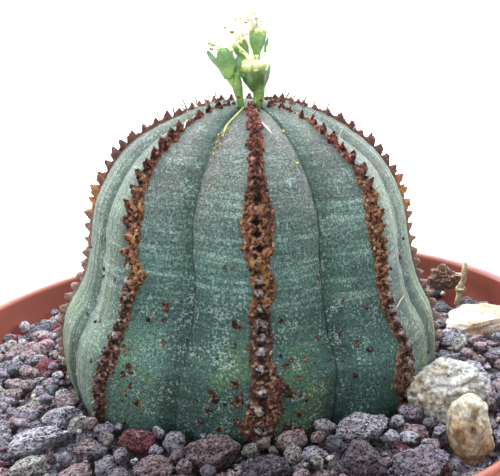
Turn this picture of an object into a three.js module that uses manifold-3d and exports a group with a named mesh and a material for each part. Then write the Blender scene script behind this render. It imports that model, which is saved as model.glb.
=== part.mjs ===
// A ribbed round succulent (the baseball plant) in a 116 mm plastic pot, top-dressed with lava gravel.
// Units are millimetres, +Z is up, the origin is the centre of the pot's foot and -Y is the front.
import * as THREE from "three";
import { mergeVertices } from "three/addons/utils/BufferGeometryUtils.js";
import Module from "manifold-3d";

const wasm = await Module();
wasm.setup();

// ---- Driving dimensions ----
const POT_HEIGHT = 90;
const RIM_RADIUS = 58;
const FOOT_RADIUS = 38;
const POT_WALL = 1.8;
const COLLAR_HEIGHT = 17;
const DRAIN_HOLES = 6;
const DRAIN_HOLE_RADIUS = 4;

const GAP = 0.3; // clearance between pieces that touch
const SOIL_TOP = 75;
const GRAVEL_HIGH = 87.2; // top of the stones against the plant
const GRAVEL_LOW = 85; // top of the stones against the pot
const GRAVEL_MOUND = 3; // extra height of the stones heaped in front of the plant
const STONE_BED_DROP = 6.2; // the bed lies this far below the tops of the stones

const LEAN = 5; // degrees, towards +X
const STEM_AT_RIM = new THREE.Vector3(2.8, 1, POT_HEIGHT); // where the stem's axis crosses the rim plane
const RIB_COUNT = 8;
const RIB_TURN = 2.5; // degrees from the front to the nearest rib
const RIB_DEPTH = 0.07; // depth of a valley, as a share of the rib's radius

const DEGREE = Math.PI / 180;

// ---- Shared tools ----

// Closes a three.js geometry: seams and poles are welded, so that it bounds one solid.
function closed(geometry) {
  const welded = geometry.clone();
  welded.deleteAttribute("normal");
  welded.deleteAttribute("uv");
  return mergeVertices(welded, 1e-3);
}

function solidOf(geometry) {
  const welded = closed(geometry);
  return new wasm.Manifold(
    new wasm.Mesh({
      numProp: 3,
      vertProperties: welded.getAttribute("position").array,
      triVerts: new Uint32Array(welded.index.array),
    }),
  );
}

function geometryOf(solid) {
  const mesh = solid.getMesh();
  const geometry = new THREE.BufferGeometry();
  geometry.setAttribute("position", new THREE.BufferAttribute(mesh.vertProperties, 3));
  geometry.setIndex(new THREE.BufferAttribute(mesh.triVerts, 1));
  geometry.computeVertexNormals();
  return geometry;
}

// A profile of [radius, height] points turned about the Z axis.
function turned(profile, segments = 48, startAngle = 0) {
  const points = profile.map(([radius, height]) => new THREE.Vector2(radius, height));
  return new THREE.LatheGeometry(points, segments, startAngle, 2 * Math.PI).rotateX(Math.PI / 2);
}

// A small repeatable random source, which gives numbers from 0 to 1.
function seeded(seed) {
  let state = seed * 7919 + 13;
  return () => {
    state = (state * 16807) % 2147483647;
    return state / 2147483647;
  };
}

function matt(colour, roughness = 0.9) {
  return new THREE.MeshStandardMaterial({ color: colour, roughness, metalness: 0 });
}

function addPiece(parent, name, geometry, material, position = [0, 0, 0]) {
  const mesh = new THREE.Mesh(geometry, material);
  mesh.name = name;
  mesh.position.set(...position);
  parent.add(mesh);
  return mesh;
}

// A solid that tapers from one point to another.
function taper(from, to, startRadius, endRadius, sides = 8) {
  const along = new THREE.Vector3().subVectors(to, from);
  const turn = new THREE.Quaternion().setFromUnitVectors(
    new THREE.Vector3(0, 1, 0),
    along.clone().normalize(),
  );
  return new THREE.CylinderGeometry(endRadius, startRadius, along.length(), sides)
    .applyQuaternion(turn)
    .translate(...from.clone().addScaledVector(along, 0.5).toArray());
}

const part = new THREE.Group();
part.name = "potted_baseball_plant";

// The plant's own frame: its axis leans in the pot, and its zero is on the rim plane.
const plant = new THREE.Group();
plant.position.copy(STEM_AT_RIM);
plant.rotation.y = LEAN * DEGREE;
plant.updateMatrix();
part.add(plant);

// ---- Pot: one injection-moulded shell with a straight collar and a flat foot ----
const collarFoot = POT_HEIGHT - COLLAR_HEIGHT;
const wallTop = RIM_RADIUS - 5; // outer radius of the wall just under the collar

// Inner radius of the pot at a height above its floor.
function innerRadius(height) {
  if (height > collarFoot) {
    const share = (height - collarFoot) / COLLAR_HEIGHT;
    return RIM_RADIUS - 1.3 - POT_WALL + 1.3 * share;
  }
  const share = (height - POT_WALL) / (collarFoot - POT_WALL);
  return FOOT_RADIUS - POT_WALL + (wallTop - FOOT_RADIUS) * share;
}

function potGeometry() {
  const shell = turned([
    [0, 0],
    [FOOT_RADIUS - 1, 0],
    [FOOT_RADIUS, 1],
    [wallTop, collarFoot],
    [RIM_RADIUS - 1.6, collarFoot + 0.6],
    [RIM_RADIUS, POT_HEIGHT - 1.6],
    [RIM_RADIUS - 0.3, POT_HEIGHT - 0.4],
    [RIM_RADIUS - 1, POT_HEIGHT],
    [RIM_RADIUS - 1.7, POT_HEIGHT - 0.5],
    [innerRadius(collarFoot + 1), collarFoot + 1],
    [innerRadius(collarFoot - 1), collarFoot - 1],
    [innerRadius(POT_WALL + 2), POT_WALL + 2],
    [innerRadius(POT_WALL) - 2, POT_WALL],
    [0, POT_WALL],
  ]);
  let pot = solidOf(shell);
  for (let i = 0; i < DRAIN_HOLES; i += 1) {
    const angle = (2 * Math.PI * (i + 0.5)) / DRAIN_HOLES;
    const hole = new THREE.CylinderGeometry(DRAIN_HOLE_RADIUS, DRAIN_HOLE_RADIUS, 3 * POT_WALL, 12)
      .rotateX(Math.PI / 2)
      .translate(24 * Math.cos(angle), 24 * Math.sin(angle), POT_WALL / 2);
    pot = pot.subtract(solidOf(hole));
  }
  return geometryOf(pot);
}

addPiece(part, "pot", potGeometry(), matt(0x9c4a35, 0.5));

// ---- Stem: the ribbed body, its taproot and side roots, grown as one ----

// [radius, height above the rim plane] along the crest of a rib, from the root's tip to the crown.
const CREST = [
  [0, -66],
  [1.6, -62],
  [3.2, -50],
  [4.6, -38],
  [7.5, -29],
  [14, -21],
  [24, -14.5],
  [30, -9.3],
  [32.7, -2],
  [32.2, 5.7],
  [28.8, 12.5],
  [27, 19.8],
  [25.5, 27.3],
  [21.4, 33.9],
  [15.1, 38.7],
  [7.9, 41.6],
  [0, 42.3],
];

const SIDE_ROOTS = [
  { turn: 20, top: -30, reach: 25, drop: 12 },
  { turn: 95, top: -36, reach: 20, drop: 16 },
  { turn: 165, top: -28, reach: 24, drop: 9 },
  { turn: 240, top: -34, reach: 22, drop: 15 },
  { turn: 310, top: -41, reach: 16, drop: 13 },
];

// The whole growth, swollen by a clearance where it is used to cut the pieces round it.
function stemSolid(swell = 0) {
  const outline = new THREE.SplineCurve(CREST.map(([r, z]) => new THREE.Vector2(r, z)));
  const profile = outline.getPoints(26).map(({ x, y }) => [Math.max(x, 0) + swell, y]);
  profile[0] = [0, CREST[0][1] - swell];
  profile[profile.length - 1] = [0, CREST[CREST.length - 1][1] + swell];
  const body = turned(profile, 8 * RIB_COUNT, RIB_TURN * DEGREE);
  const position = body.getAttribute("position");
  for (let i = 0; i < position.count; i += 1) {
    const x = position.getX(i);
    const y = position.getY(i);
    const ribs = (RIB_COUNT * (Math.atan2(x, -y) - RIB_TURN * DEGREE)) / (2 * Math.PI);
    const fromCrest = 2 * Math.abs(ribs - Math.round(ribs)); // 0 on a rib, 1 in a valley
    const aboveSoil = THREE.MathUtils.smoothstep(position.getZ(i), -16, -6);
    const shrink = 1 - aboveSoil * RIB_DEPTH * (1 - (1 - fromCrest) ** 1.7);
    position.setXY(i, x * shrink, y * shrink);
  }
  let growth = solidOf(body);
  for (const { turn, top, reach, drop } of SIDE_ROOTS) {
    const out = new THREE.Vector3(Math.cos(turn * DEGREE), Math.sin(turn * DEGREE), 0);
    const from = new THREE.Vector3(0, 0, top);
    const to = out.multiplyScalar(reach + swell).add(new THREE.Vector3(0, 0, top - drop));
    growth = growth.add(solidOf(taper(from, to, 2.4 + swell, 0.6 + swell)));
  }
  return growth;
}

addPiece(plant, "stem", geometryOf(stemSolid()), matt(0x5f7f6c, 0.7));
const stemCutter = solidOf(geometryOf(stemSolid(GAP)).applyMatrix4(plant.matrix));

// ---- Potting mix: fills the pot up to the gravel, moulded round the roots ----
function pottingMixGeometry() {
  const mix = turned([
    [0, POT_WALL + GAP],
    [innerRadius(POT_WALL) - 2 - GAP, POT_WALL + GAP],
    [innerRadius(POT_WALL + 2) - GAP, POT_WALL + 2],
    [innerRadius(collarFoot - 1) - GAP, collarFoot - 1],
    [innerRadius(collarFoot + 1) - GAP, collarFoot + 1],
    [innerRadius(SOIL_TOP) - GAP, SOIL_TOP],
    [0, SOIL_TOP],
  ]);
  return geometryOf(solidOf(mix).subtract(stemCutter));
}

addPiece(part, "potting_mix", pottingMixGeometry(), matt(0x3a2c22, 1));

// ---- Gravel bed: the buried part of the top dressing, an uneven ring between plant and pot ----

// Height of the tops of the stones at a distance from the pot's axis, without the heap in front.
function gravelHeight(radius) {
  const share = THREE.MathUtils.clamp((radius - 33) / 20, 0, 1);
  return THREE.MathUtils.lerp(GRAVEL_HIGH, GRAVEL_LOW, share);
}

// Extra height of the stones that are heaped against the front of the plant.
function mound(x, y) {
  const inFront = THREE.MathUtils.smoothstep(-y, 4, 20);
  return GRAVEL_MOUND * inFront * THREE.MathUtils.clamp((47 - Math.hypot(x, y)) / 14, 0, 1);
}

function gravelBedGeometry() {
  const bedTop = (radius, rise = 0) => [radius, gravelHeight(radius) - STONE_BED_DROP - 0.5 + rise];
  const wall = innerRadius(80) - GAP;
  const ring = turned([
    [12, SOIL_TOP + GAP],
    [innerRadius(SOIL_TOP) - GAP, SOIL_TOP + GAP],
    bedTop(wall),
    bedTop(50),
    bedTop(44, 0.7), // the ridge between the two rings of stones
    bedTop(38),
    bedTop(30),
    [12, gravelHeight(12) - STONE_BED_DROP],
    [12, SOIL_TOP + GAP],
  ]);
  const position = ring.getAttribute("position");
  for (let i = 0; i < position.count; i += 1) {
    const height = position.getZ(i);
    if (height > SOIL_TOP + 1) {
      position.setZ(i, height + mound(position.getX(i), position.getY(i)));
    }
  }
  return geometryOf(solidOf(ring).subtract(stemCutter));
}

addPiece(part, "gravel_bed", gravelBedGeometry(), matt(0x77706f, 0.95));

// ---- Stones: lava pieces heaped in front and in two rings on the bed, and three pale stones ----

// A rough stone of the given [x, y, z] size about its own centre.
function stoneGeometry(size, seed) {
  const random = seeded(seed);
  const stone = closed(new THREE.IcosahedronGeometry(0.5, 1));
  const position = stone.getAttribute("position");
  const point = new THREE.Vector3();
  for (let i = 0; i < position.count; i += 1) {
    point.fromBufferAttribute(position, i);
    point.multiplyScalar(0.86 + 0.14 * random()).multiply(new THREE.Vector3(...size));
    position.setXYZ(i, ...point.toArray());
  }
  stone.computeVertexNormals();
  return stone;
}

const PALE_STONES = [
  { name: "limestone_pebble", size: [12.4, 9.4, 11.4], at: [32.3, -23.7, 88.3], turn: 10, colour: 0xd6d0c2 },
  { name: "ochre_pebble", size: [7.2, 6.4, 11], at: [33, -34.4, 88.5], turn: 30, colour: 0xc79a68 },
  { name: "flat_beige_stone", size: [15, 9, 4.6], at: [45.8, 10, 85.9], turn: 8, colour: 0xcfc1a8 },
];

PALE_STONES.forEach(({ name, size, at, turn, colour }, index) => {
  const stone = addPiece(part, name, stoneGeometry(size, 71 + index), matt(colour), at);
  stone.rotation.z = turn * DEGREE;
});

// The lava stones of the heap in front, from left to right.
const FRONT_STONES = [
  { size: [5, 4.6, 4.2], at: [-37.6, -20.6, 86.6], turn: 0 },
  { size: [6.6, 5, 3.8], at: [-30.6, -30.6, 86.4], turn: 10 },
  { size: [10.2, 5, 4.4], at: [-29.8, -25.2, 87.6], turn: 20 },
  { size: [4.4, 4, 3.8], at: [-29.6, -35.4, 85.2], turn: 0 },
  { size: [7.2, 5.6, 5.2], at: [-27.6, -19.2, 88.2], turn: -30 },
  { size: [5.6, 4.4, 3.4], at: [-23.6, -33.6, 86.2], turn: 0 },
  { size: [5.8, 4.4, 3.4], at: [-21.8, -28.8, 87.2], turn: 0 },
  { size: [7.2, 4.4, 4], at: [-14.8, -29.2, 88.4], turn: -28 },
  { size: [6.8, 5, 4.2], at: [-11.8, -35, 86.8], turn: -12 },
  { size: [9.2, 6.2, 5.4], at: [-3.8, -33.9, 88], turn: -8 },
  { size: [8.4, 6.2, 6], at: [3.6, -37.4, 85.8], turn: 0 },
  { size: [5.4, 4, 3.8], at: [10.6, -35, 86.6], turn: 10 },
  { size: [7.6, 6.2, 6.8], at: [17.2, -37.2, 87], turn: 0 },
  { size: [9.8, 5.2, 5], at: [18.6, -30.4, 88.2], turn: 26 },
  { size: [8.6, 6.6, 6.2], at: [25.6, -38.6, 85.6], turn: 0 },
  { size: [5.4, 4.2, 3.8], at: [32.4, -41.2, 84.4], turn: 0 },
  { size: [5.6, 6, 5.4], at: [43, -21.4, 85.6], turn: 0 },
];

// Both rings are centred where their stones fit: the inner one on the stem, the outer one on the pot.
const STONE_RINGS = [
  { centre: [2.6, 1], radius: 38, count: 15, size: [10.4, 7.6, 6] },
  { centre: [0, 0], radius: 50, count: 15, size: [10, 8, 5.8] },
];
const LAVA_COLOURS = [0x7d7573, 0x8a7a7a, 0x6f6a6c, 0x8b6f68, 0x837d78];
const CLEAR_OF_STONE = 5.4; // from the end of a listed stone to the middle of one in a ring

function addLavaStone(number, size, at, turn) {
  const name = `lava_stone_${String(number).padStart(2, "0")}`;
  const colour = LAVA_COLOURS[number % LAVA_COLOURS.length];
  const stone = addPiece(part, name, stoneGeometry(size, number), matt(colour), at);
  stone.rotation.z = turn;
}

function addLavaStones() {
  FRONT_STONES.forEach(({ size, at, turn }, index) => {
    addLavaStone(index + 1, size, at, turn * DEGREE);
  });
  const listed = [...PALE_STONES, ...FRONT_STONES];
  const random = seeded(5);
  let number = FRONT_STONES.length;
  for (const { centre, radius, count, size } of STONE_RINGS) {
    for (let i = 0; i < count; i += 1) {
      const angle = (2 * Math.PI * (i + 0.3 * random())) / count;
      const x = centre[0] + radius * Math.cos(angle);
      const y = centre[1] + radius * Math.sin(angle);
      const scale = 0.9 + 0.16 * random();
      const scaled = size.map((side) => side * scale);
      const apart = (stone) => Math.hypot(x - stone.at[0], y - stone.at[1]) - stone.size[0] / 2;
      if (listed.some((stone) => apart(stone) < CLEAR_OF_STONE)) {
        continue;
      }
      number += 1;
      const z = gravelHeight(Math.hypot(x, y)) + mound(x, y) - scaled[2] / 2;
      addLavaStone(number, scaled, [x, y, z], angle + Math.PI / 2); // the long side follows the ring
    }
  }
}

addLavaStones();

// ---- Withered flower head: dropped on the gravel behind the plant, beside its dry stalk ----
const witheredHead = addPiece(
  part,
  "withered_flower_head",
  stoneGeometry([7.6, 6, 5.6], 90),
  matt(0x9a6f5f),
  [43.4, 26.6, 88.3],
);
witheredHead.rotation.z = 40 * DEGREE;
addPiece(
  part,
  "dry_stalk",
  taper(new THREE.Vector3(45.2, 21, 86.2), new THREE.Vector3(46.6, 21, 93.6), 0.7, 0.5),
  matt(0xcdb79a),
);

// ---- Flowers: cups on three short stalks at the crown, with scales and stamens ----
// Heights are in the plant's frame, above the rim plane.
const GREEN = 0x9dbb6e;
const PALE_YELLOW = 0xf1ecb0;

const STALKS = [
  { name: "flower_stalk_left", from: [-1.5, -3, 42.6], to: [-2.1, -3, 46], base: 0.75, tip: 0.6 },
  { name: "flower_stalk_right", from: [1.1, -3, 42.6], to: [1.5, -3, 44.5], base: 0.75, tip: 0.7 },
  { name: "flower_stalk_upper", from: [0.9, 1.6, 42.7], to: [1.15, 0.6, 50.4], base: 0.6, tip: 0.5 },
];

for (const { name, from, to, base, tip } of STALKS) {
  const stalk = taper(new THREE.Vector3(...from), new THREE.Vector3(...to), base, tip);
  addPiece(plant, name, stalk, matt(GREEN, 0.6));
}

function cupGeometry(radius, height) {
  return turned(
    [
      [0, 0],
      [0.5 * radius, 0.08 * height],
      [0.95 * radius, 0.5 * height],
      [radius, 0.75 * height],
      [0.72 * radius, height],
      [0.5 * radius, 0.86 * height],
      [0, 0.84 * height],
    ],
    12,
  );
}

// Stamens: a low dome in the mouth of the cup, with thin filaments that end in anthers.
function stamenGeometry(spread, height, count, seed) {
  const random = seeded(seed);
  const dome = new THREE.SphereGeometry(spread, 8, 5).scale(1, 1, 0.45);
  let cluster = solidOf(dome);
  for (let i = 0; i < count; i += 1) {
    const angle = (2 * Math.PI * (i + random())) / count;
    const lean = spread * (0.6 + 0.8 * random());
    const rise = height * (0.7 + 0.3 * random());
    const tip = new THREE.Vector3(lean * Math.cos(angle), lean * Math.sin(angle), rise);
    const anther = new THREE.IcosahedronGeometry(0.32, 0).translate(...tip.toArray());
    cluster = cluster.add(solidOf(taper(new THREE.Vector3(), tip, 0.16, 0.12, 6)));
    cluster = cluster.add(solidOf(anther));
  }
  return geometryOf(cluster);
}

const CUPS = [
  { side: "left", at: [-4.2, -3, 47.2], radius: 1.25, height: 3.6, spread: 0.8, rise: 1.8, count: 3 },
  { side: "centre", at: [-1.4, -1, 49.6], radius: 1.3, height: 3.2, spread: 0.8, rise: 2.2, count: 3 },
  { side: "upper", at: [1.2, 0.6, 50.8], radius: 1.3, height: 3.6, spread: 0.8, rise: 2.4, count: 4 },
  { side: "right", at: [1.2, -3, 44.8], radius: 2.2, height: 3.4, spread: 1.5, rise: 1.9, count: 5 },
];

CUPS.forEach(({ side, at, radius, height, spread, rise, count }, index) => {
  const mouth = [at[0], at[1], at[2] + height + 0.55 * spread + 0.1];
  addPiece(plant, `flower_cup_${side}`, cupGeometry(radius, height), matt(GREEN, 0.6), at);
  const stamens = stamenGeometry(spread, rise, count, 11 + index);
  addPiece(plant, `stamens_${side}`, stamens, matt(PALE_YELLOW, 0.7), mouth);
});

// Scales: small leaf-like bracts, each a thin lens that bows away from its cup.
function scaleGeometry(width, length) {
  const scale = closed(new THREE.IcosahedronGeometry(0.5, 1)).scale(width, 0.5, length);
  const position = scale.getAttribute("position");
  for (let i = 0; i < position.count; i += 1) {
    const bow = 0.8 * (position.getX(i) / width) ** 2 + 0.5 * (position.getZ(i) / length) ** 2;
    position.setY(i, position.getY(i) + bow);
  }
  scale.computeVertexNormals();
  return scale;
}

const SCALES = [
  { name: "bract_left_broad", width: 2.6, length: 4.4, at: [-3.9, -5, 49.6], turn: -20 },
  { name: "bract_left_narrow", width: 1.1, length: 4.2, at: [-6.4, -3.6, 48.6], turn: -80 },
  { name: "bract_upright", width: 1.8, length: 4.6, at: [-1.9, -3.3, 48.7], turn: 10 },
  { name: "bract_upper", width: 1.6, length: 2.6, at: [3.2, 0, 51.9], turn: 70 },
];

for (const { name, width, length, at, turn } of SCALES) {
  const scale = addPiece(plant, name, scaleGeometry(width, length), matt(GREEN, 0.6), at);
  scale.rotation.z = turn * DEGREE;
}

export default part;
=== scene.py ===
import math
import random

import bmesh
import bpy
from mathutils import Matrix, Vector, noise


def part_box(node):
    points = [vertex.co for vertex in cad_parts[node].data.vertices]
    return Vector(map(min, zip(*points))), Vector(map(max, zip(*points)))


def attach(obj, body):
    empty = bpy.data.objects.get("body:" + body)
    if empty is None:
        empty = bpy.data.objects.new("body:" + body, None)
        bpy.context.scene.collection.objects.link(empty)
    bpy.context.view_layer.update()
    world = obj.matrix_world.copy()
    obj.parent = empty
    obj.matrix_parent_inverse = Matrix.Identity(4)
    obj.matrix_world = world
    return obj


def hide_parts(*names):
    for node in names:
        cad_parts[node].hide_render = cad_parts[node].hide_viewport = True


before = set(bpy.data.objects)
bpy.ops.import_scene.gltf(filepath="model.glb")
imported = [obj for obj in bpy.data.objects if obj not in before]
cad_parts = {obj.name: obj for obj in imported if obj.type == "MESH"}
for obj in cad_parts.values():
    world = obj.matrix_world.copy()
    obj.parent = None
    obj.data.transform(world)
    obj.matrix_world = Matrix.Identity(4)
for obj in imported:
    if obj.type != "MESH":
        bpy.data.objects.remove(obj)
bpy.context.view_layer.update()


# ---- Pot ----
# A nursery pot of terracotta-coloured polypropylene, moulded in one piece: a tapered wall under a straight
# collar with a rounded lip, and a flat foot. The surface has a soft sheen, faint flow marks and dusty scuffs.
MM = 0.001


def add_object(name, data):
    made = bpy.data.objects.new(name, data)
    bpy.context.scene.collection.objects.link(made)
    return made


def add_mesh_object(name, bm):
    """Turns a bmesh into an object of the scene."""
    mesh = bpy.data.meshes.new(name)
    bm.to_mesh(mesh)
    bm.free()
    return add_object(name, mesh)


def make_piece(name, bm, material, nodes):
    """Turns a bmesh into a smooth-shaded piece that rides with the pot and stands for CAD nodes."""
    piece = add_mesh_object(name, bm)
    piece.data.materials.append(material)
    piece.data.shade_smooth()
    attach(piece, "root")
    if nodes:
        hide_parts(*nodes)
    return piece


def set_inputs(node, inputs):
    """Sets inputs of a shader node from (socket, value) pairs. A value may be the output of another node."""
    for name, value in inputs:
        socket = node.inputs[name]
        if isinstance(value, bpy.types.NodeSocket):
            node.id_data.links.new(value, socket)
        elif socket.type == "RGBA":
            socket.default_value = (*value, 1)
        else:
            socket.default_value = value


def add_node(tree, kind, inputs=(), **settings):
    made = tree.nodes.new(kind)
    for key, value in settings.items():
        setattr(made, key, value)
    set_inputs(made, inputs)
    return made


def maths(tree, operation, first, second=0.5):
    return add_node(tree, "ShaderNodeMath", [(0, first), (1, second)], operation=operation).outputs[0]


def times(tree, first, second):
    return maths(tree, "MULTIPLY", first, second)


def weighed(tree, *pairs):
    """The sum of values, each times its weight."""
    total = times(tree, *pairs[0])
    for value, weight in pairs[1:]:
        total = maths(tree, "ADD", total, times(tree, value, weight))
    return total


def between(tree, value, low, high, to_low=0.0, to_high=1.0):
    """Maps low..high smoothly to a new range, clamped at both ends."""
    pairs = [("Value", value), ("From Min", low), ("From Max", high), ("To Min", to_low), ("To Max", to_high)]
    return add_node(tree, "ShaderNodeMapRange", pairs, interpolation_type="SMOOTHSTEP").outputs[0]


def window(tree, value, first_edge, second_edge):
    """1 where a value lies between two soft edges, each of them a (none, all) pair."""
    return times(tree, between(tree, value, *first_edge), between(tree, value, *second_edge))


def blend_colour(tree, factor, first, second, blend_type="MIX"):
    pairs = [(0, factor), (6, first), (7, second)]
    return add_node(tree, "ShaderNodeMix", pairs, data_type="RGBA", blend_type=blend_type).outputs[2]


def covered(tree, mask, strength, under, over):
    return blend_colour(tree, times(tree, mask, strength), under, over)


def layered(tree, colour, layers):
    """Lays colours over one another, from the lowest up: (mask, strength, colour) each."""
    for mask, strength, over in layers:
        colour = covered(tree, mask, strength, colour, over)
    return colour


def tinted(tree, colour, tint):
    return blend_colour(tree, 1.0, colour, tint, "MULTIPLY")


def cloud(tree, vector, scale, detail, roughness=0.55):
    pairs = [("Vector", vector), ("Scale", scale), ("Detail", detail), ("Roughness", roughness)]
    return add_node(tree, "ShaderNodeTexNoise", pairs).outputs[0]


def cells(tree, vector, scale, output):
    return add_node(tree, "ShaderNodeTexVoronoi", [("Vector", vector), ("Scale", scale)]).outputs[output]


def colour_ramp(tree, factor, stops):
    made = add_node(tree, "ShaderNodeValToRGB", [(0, factor)])
    ramp = made.color_ramp
    while len(ramp.elements) < len(stops):
        ramp.elements.new(0.5)
    for element, (position, colour) in zip(ramp.elements, stops):
        element.position = position
        element.color = (*colour, 1)
    return made.outputs[0]


def object_place(tree):
    return add_node(tree, "ShaderNodeTexCoord").outputs["Object"]


def attribute(tree, name, output="Fac"):
    return add_node(tree, "ShaderNodeAttribute", attribute_name=name).outputs[output]


def speckle_group():
    """Irregular specks: a fine noise cut at a level that a broader noise moves, so that they gather."""
    tree = bpy.data.node_groups.new("speckle", "ShaderNodeTree")
    tree.interface.new_socket("Vector", in_out="INPUT", socket_type="NodeSocketVector")
    for name in ("Scale", "Level", "Gather"):
        tree.interface.new_socket(name, in_out="INPUT", socket_type="NodeSocketFloat")
    tree.interface.new_socket("Mask", in_out="OUTPUT", socket_type="NodeSocketFloat")
    given = tree.nodes.new("NodeGroupInput").outputs
    fine = cloud(tree, given["Vector"], given["Scale"], 4.0, 0.7)
    broad = cloud(tree, given["Vector"], times(tree, given["Scale"], 0.13), 2.0)
    shift = times(tree, maths(tree, "SUBTRACT", broad, 0.5), given["Gather"])
    above = maths(tree, "SUBTRACT", fine, maths(tree, "SUBTRACT", given["Level"], shift))
    set_inputs(tree.nodes.new("NodeGroupOutput"), [("Mask", between(tree, above, 0.0, 0.06))])
    return tree


speckle = speckle_group()


def specks(tree, vector, scale, level, gather=0.2):
    """A mask of specks: more of them at a lower level, and closer together where gather is high."""
    pairs = [("Vector", vector), ("Scale", scale), ("Level", level), ("Gather", gather)]
    return add_node(tree, "ShaderNodeGroup", pairs, node_tree=speckle).outputs["Mask"]


def new_material(name, roughness=0.6, specular=0.5):
    """A Principled material. Returns the material, its node tree and its shader node."""
    material = bpy.data.materials.new(name)
    material.use_nodes = True
    shader = material.node_tree.nodes["Principled BSDF"]
    set_inputs(shader, [("Roughness", roughness), ("Specular IOR Level", specular)])
    return material, material.node_tree, shader


def dress(tree, shader, colour, height, strength, distance):
    """Gives a material its colour and its relief."""
    pairs = [("Height", height), ("Strength", strength), ("Distance", distance)]
    bump = add_node(tree, "ShaderNodeBump", pairs)
    set_inputs(shader, [("Base Color", colour), ("Normal", bump.outputs[0])])


def pot_plastic():
    material, tree, shader = new_material("pot_plastic")
    place = object_place(tree)
    flow = cloud(tree, place, 45.0, 3.0)
    base = colour_ramp(tree, flow, [(0.3, (0.27, 0.066, 0.044)), (0.7, (0.37, 0.1, 0.068))])
    dust = specks(tree, place, 420.0, 0.66, 0.5)
    dusted = covered(tree, dust, 0.35, base, (0.52, 0.36, 0.3))
    rough = between(tree, cloud(tree, place, 160.0, 4.0), 0.3, 0.7, 0.34, 0.5)
    dulled = maths(tree, "ADD", rough, times(tree, dust, 0.2))
    set_inputs(shader, [("Roughness", dulled)])
    grain = cloud(tree, place, 2600.0, 2.0)
    dress(tree, shader, dusted, grain, 0.25, 0.00004)
    return material


def face_outwards(bm):
    bmesh.ops.recalc_face_normals(bm, faces=bm.faces[:])


def turned_shape(profile, steps):
    """A bmesh of a [radius, height] profile in metres, spun round the Z axis, with its poles closed."""
    bm = bmesh.new()
    verts = [bm.verts.new((0, -radius, height)) for radius, height in profile]
    for first, second in zip(verts, verts[1:]):
        bm.edges.new((first, second))
    bmesh.ops.spin(
        bm,
        geom=bm.verts[:] + bm.edges[:],
        axis=(0, 0, 1),
        cent=(0, 0, 0),
        angle=2 * math.pi,
        steps=steps,
        use_merge=True,
    )
    bmesh.ops.remove_doubles(bm, verts=bm.verts[:], dist=1e-7)
    face_outwards(bm)
    return bm


def arc(centre, radius, start, end, steps):
    """Points on an arc in the profile plane, angles in degrees from the outward direction."""
    points = []
    for i in range(steps + 1):
        angle = math.radians(start + (end - start) * i / steps)
        points.append((centre[0] + radius * math.cos(angle), centre[1] + radius * math.sin(angle)))
    return points


pot_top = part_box("pot")[1]
rim_radius = pot_top.x
rim_height = pot_top.z
wall = 1.8 * MM
collar_foot = rim_height - 17 * MM
under_collar = rim_radius - 5 * MM  # radius of the wall where the collar begins
foot_radius = 38 * MM
foot_edge = 1.2 * MM  # radius of the foot's rounded edge
collar_edge = 0.8 * MM
lip = 0.9 * MM
DRAINS = 6
drain_radius = 4 * MM
drain_ring = 24 * MM  # radius of the ring of drain holes


def pot_profile():
    outside = [(0, 0), (foot_radius - foot_edge, 0)]
    outside += arc((foot_radius - foot_edge, foot_edge), foot_edge, -80, 0, 4)
    outside += [(under_collar, collar_foot - 0.6 * MM)]
    outside += arc((rim_radius - 2.4 * MM, collar_foot + collar_edge), collar_edge, -90, -10, 4)
    outside += [(rim_radius - 0.4 * MM, rim_height - 2.6 * MM), (rim_radius, rim_height - 2.2 * MM)]
    top = arc((rim_radius - lip, rim_height - lip), lip, 0, 180, 10)
    inner_top = rim_radius - wall
    inside = [
        (inner_top, rim_height - 3 * MM),
        (inner_top - 1.3 * MM, collar_foot + MM),
        (under_collar - wall, collar_foot - MM),
        (foot_radius - wall, 3.4 * MM),
        (foot_radius - wall - 2 * MM, wall),
        (0, wall),
    ]
    return outside + top + inside


def drill_drains(piece):
    """Cuts the drain holes through the floor of the pot."""
    bm = bmesh.new()
    sizes = {"radius1": drain_radius, "radius2": drain_radius, "depth": 4 * wall}
    for index in range(DRAINS):
        turn = Matrix.Rotation(math.radians(360 / DRAINS * (index + 0.5)), 4, "Z")
        place = turn @ Matrix.Translation((drain_ring, 0, wall / 2))
        bmesh.ops.create_cone(bm, cap_ends=True, segments=40, matrix=place, **sizes)
    drills = add_mesh_object("drills", bm)
    cut = piece.modifiers.new("drains", "BOOLEAN")
    cut.object = drills
    drilled = piece.evaluated_get(bpy.context.evaluated_depsgraph_get())
    piece.data = bpy.data.meshes.new_from_object(drilled)
    piece.modifiers.clear()
    bpy.data.objects.remove(drills)


def model_pot():
    bm = turned_shape(pot_profile(), 192)
    piece = make_piece("plastic_pot", bm, pot_plastic(), ["pot"])
    drill_drains(piece)


model_pot()


# ---- Potting mix ----
# A peat and grit mix that fills the pot up to the gravel. It stays the solid of the frame, because the gravel
# hides it, and has a dark crumbly finish with pale grit.
def potting_mix_finish():
    material, tree, shader = new_material("potting_mix", 0.95)
    place = object_place(tree)
    crumb = cloud(tree, place, 600.0, 6.0, 0.7)
    stops = [(0.3, (0.02, 0.013, 0.008)), (0.55, (0.07, 0.045, 0.028)), (0.8, (0.2, 0.16, 0.12))]
    base = colour_ramp(tree, crumb, stops)
    grit = specks(tree, place, 700.0, 0.68)
    gritty = blend_colour(tree, grit, base, (0.4, 0.37, 0.33))
    dress(tree, shader, gritty, crumb, 0.9, 0.0006)
    return material


def finish_solid(node, material):
    """Gives its material to a solid of the frame that is shown as it is."""
    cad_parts[node].data.materials.clear()
    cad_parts[node].data.materials.append(material)


finish_solid("potting_mix", potting_mix_finish())


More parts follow.
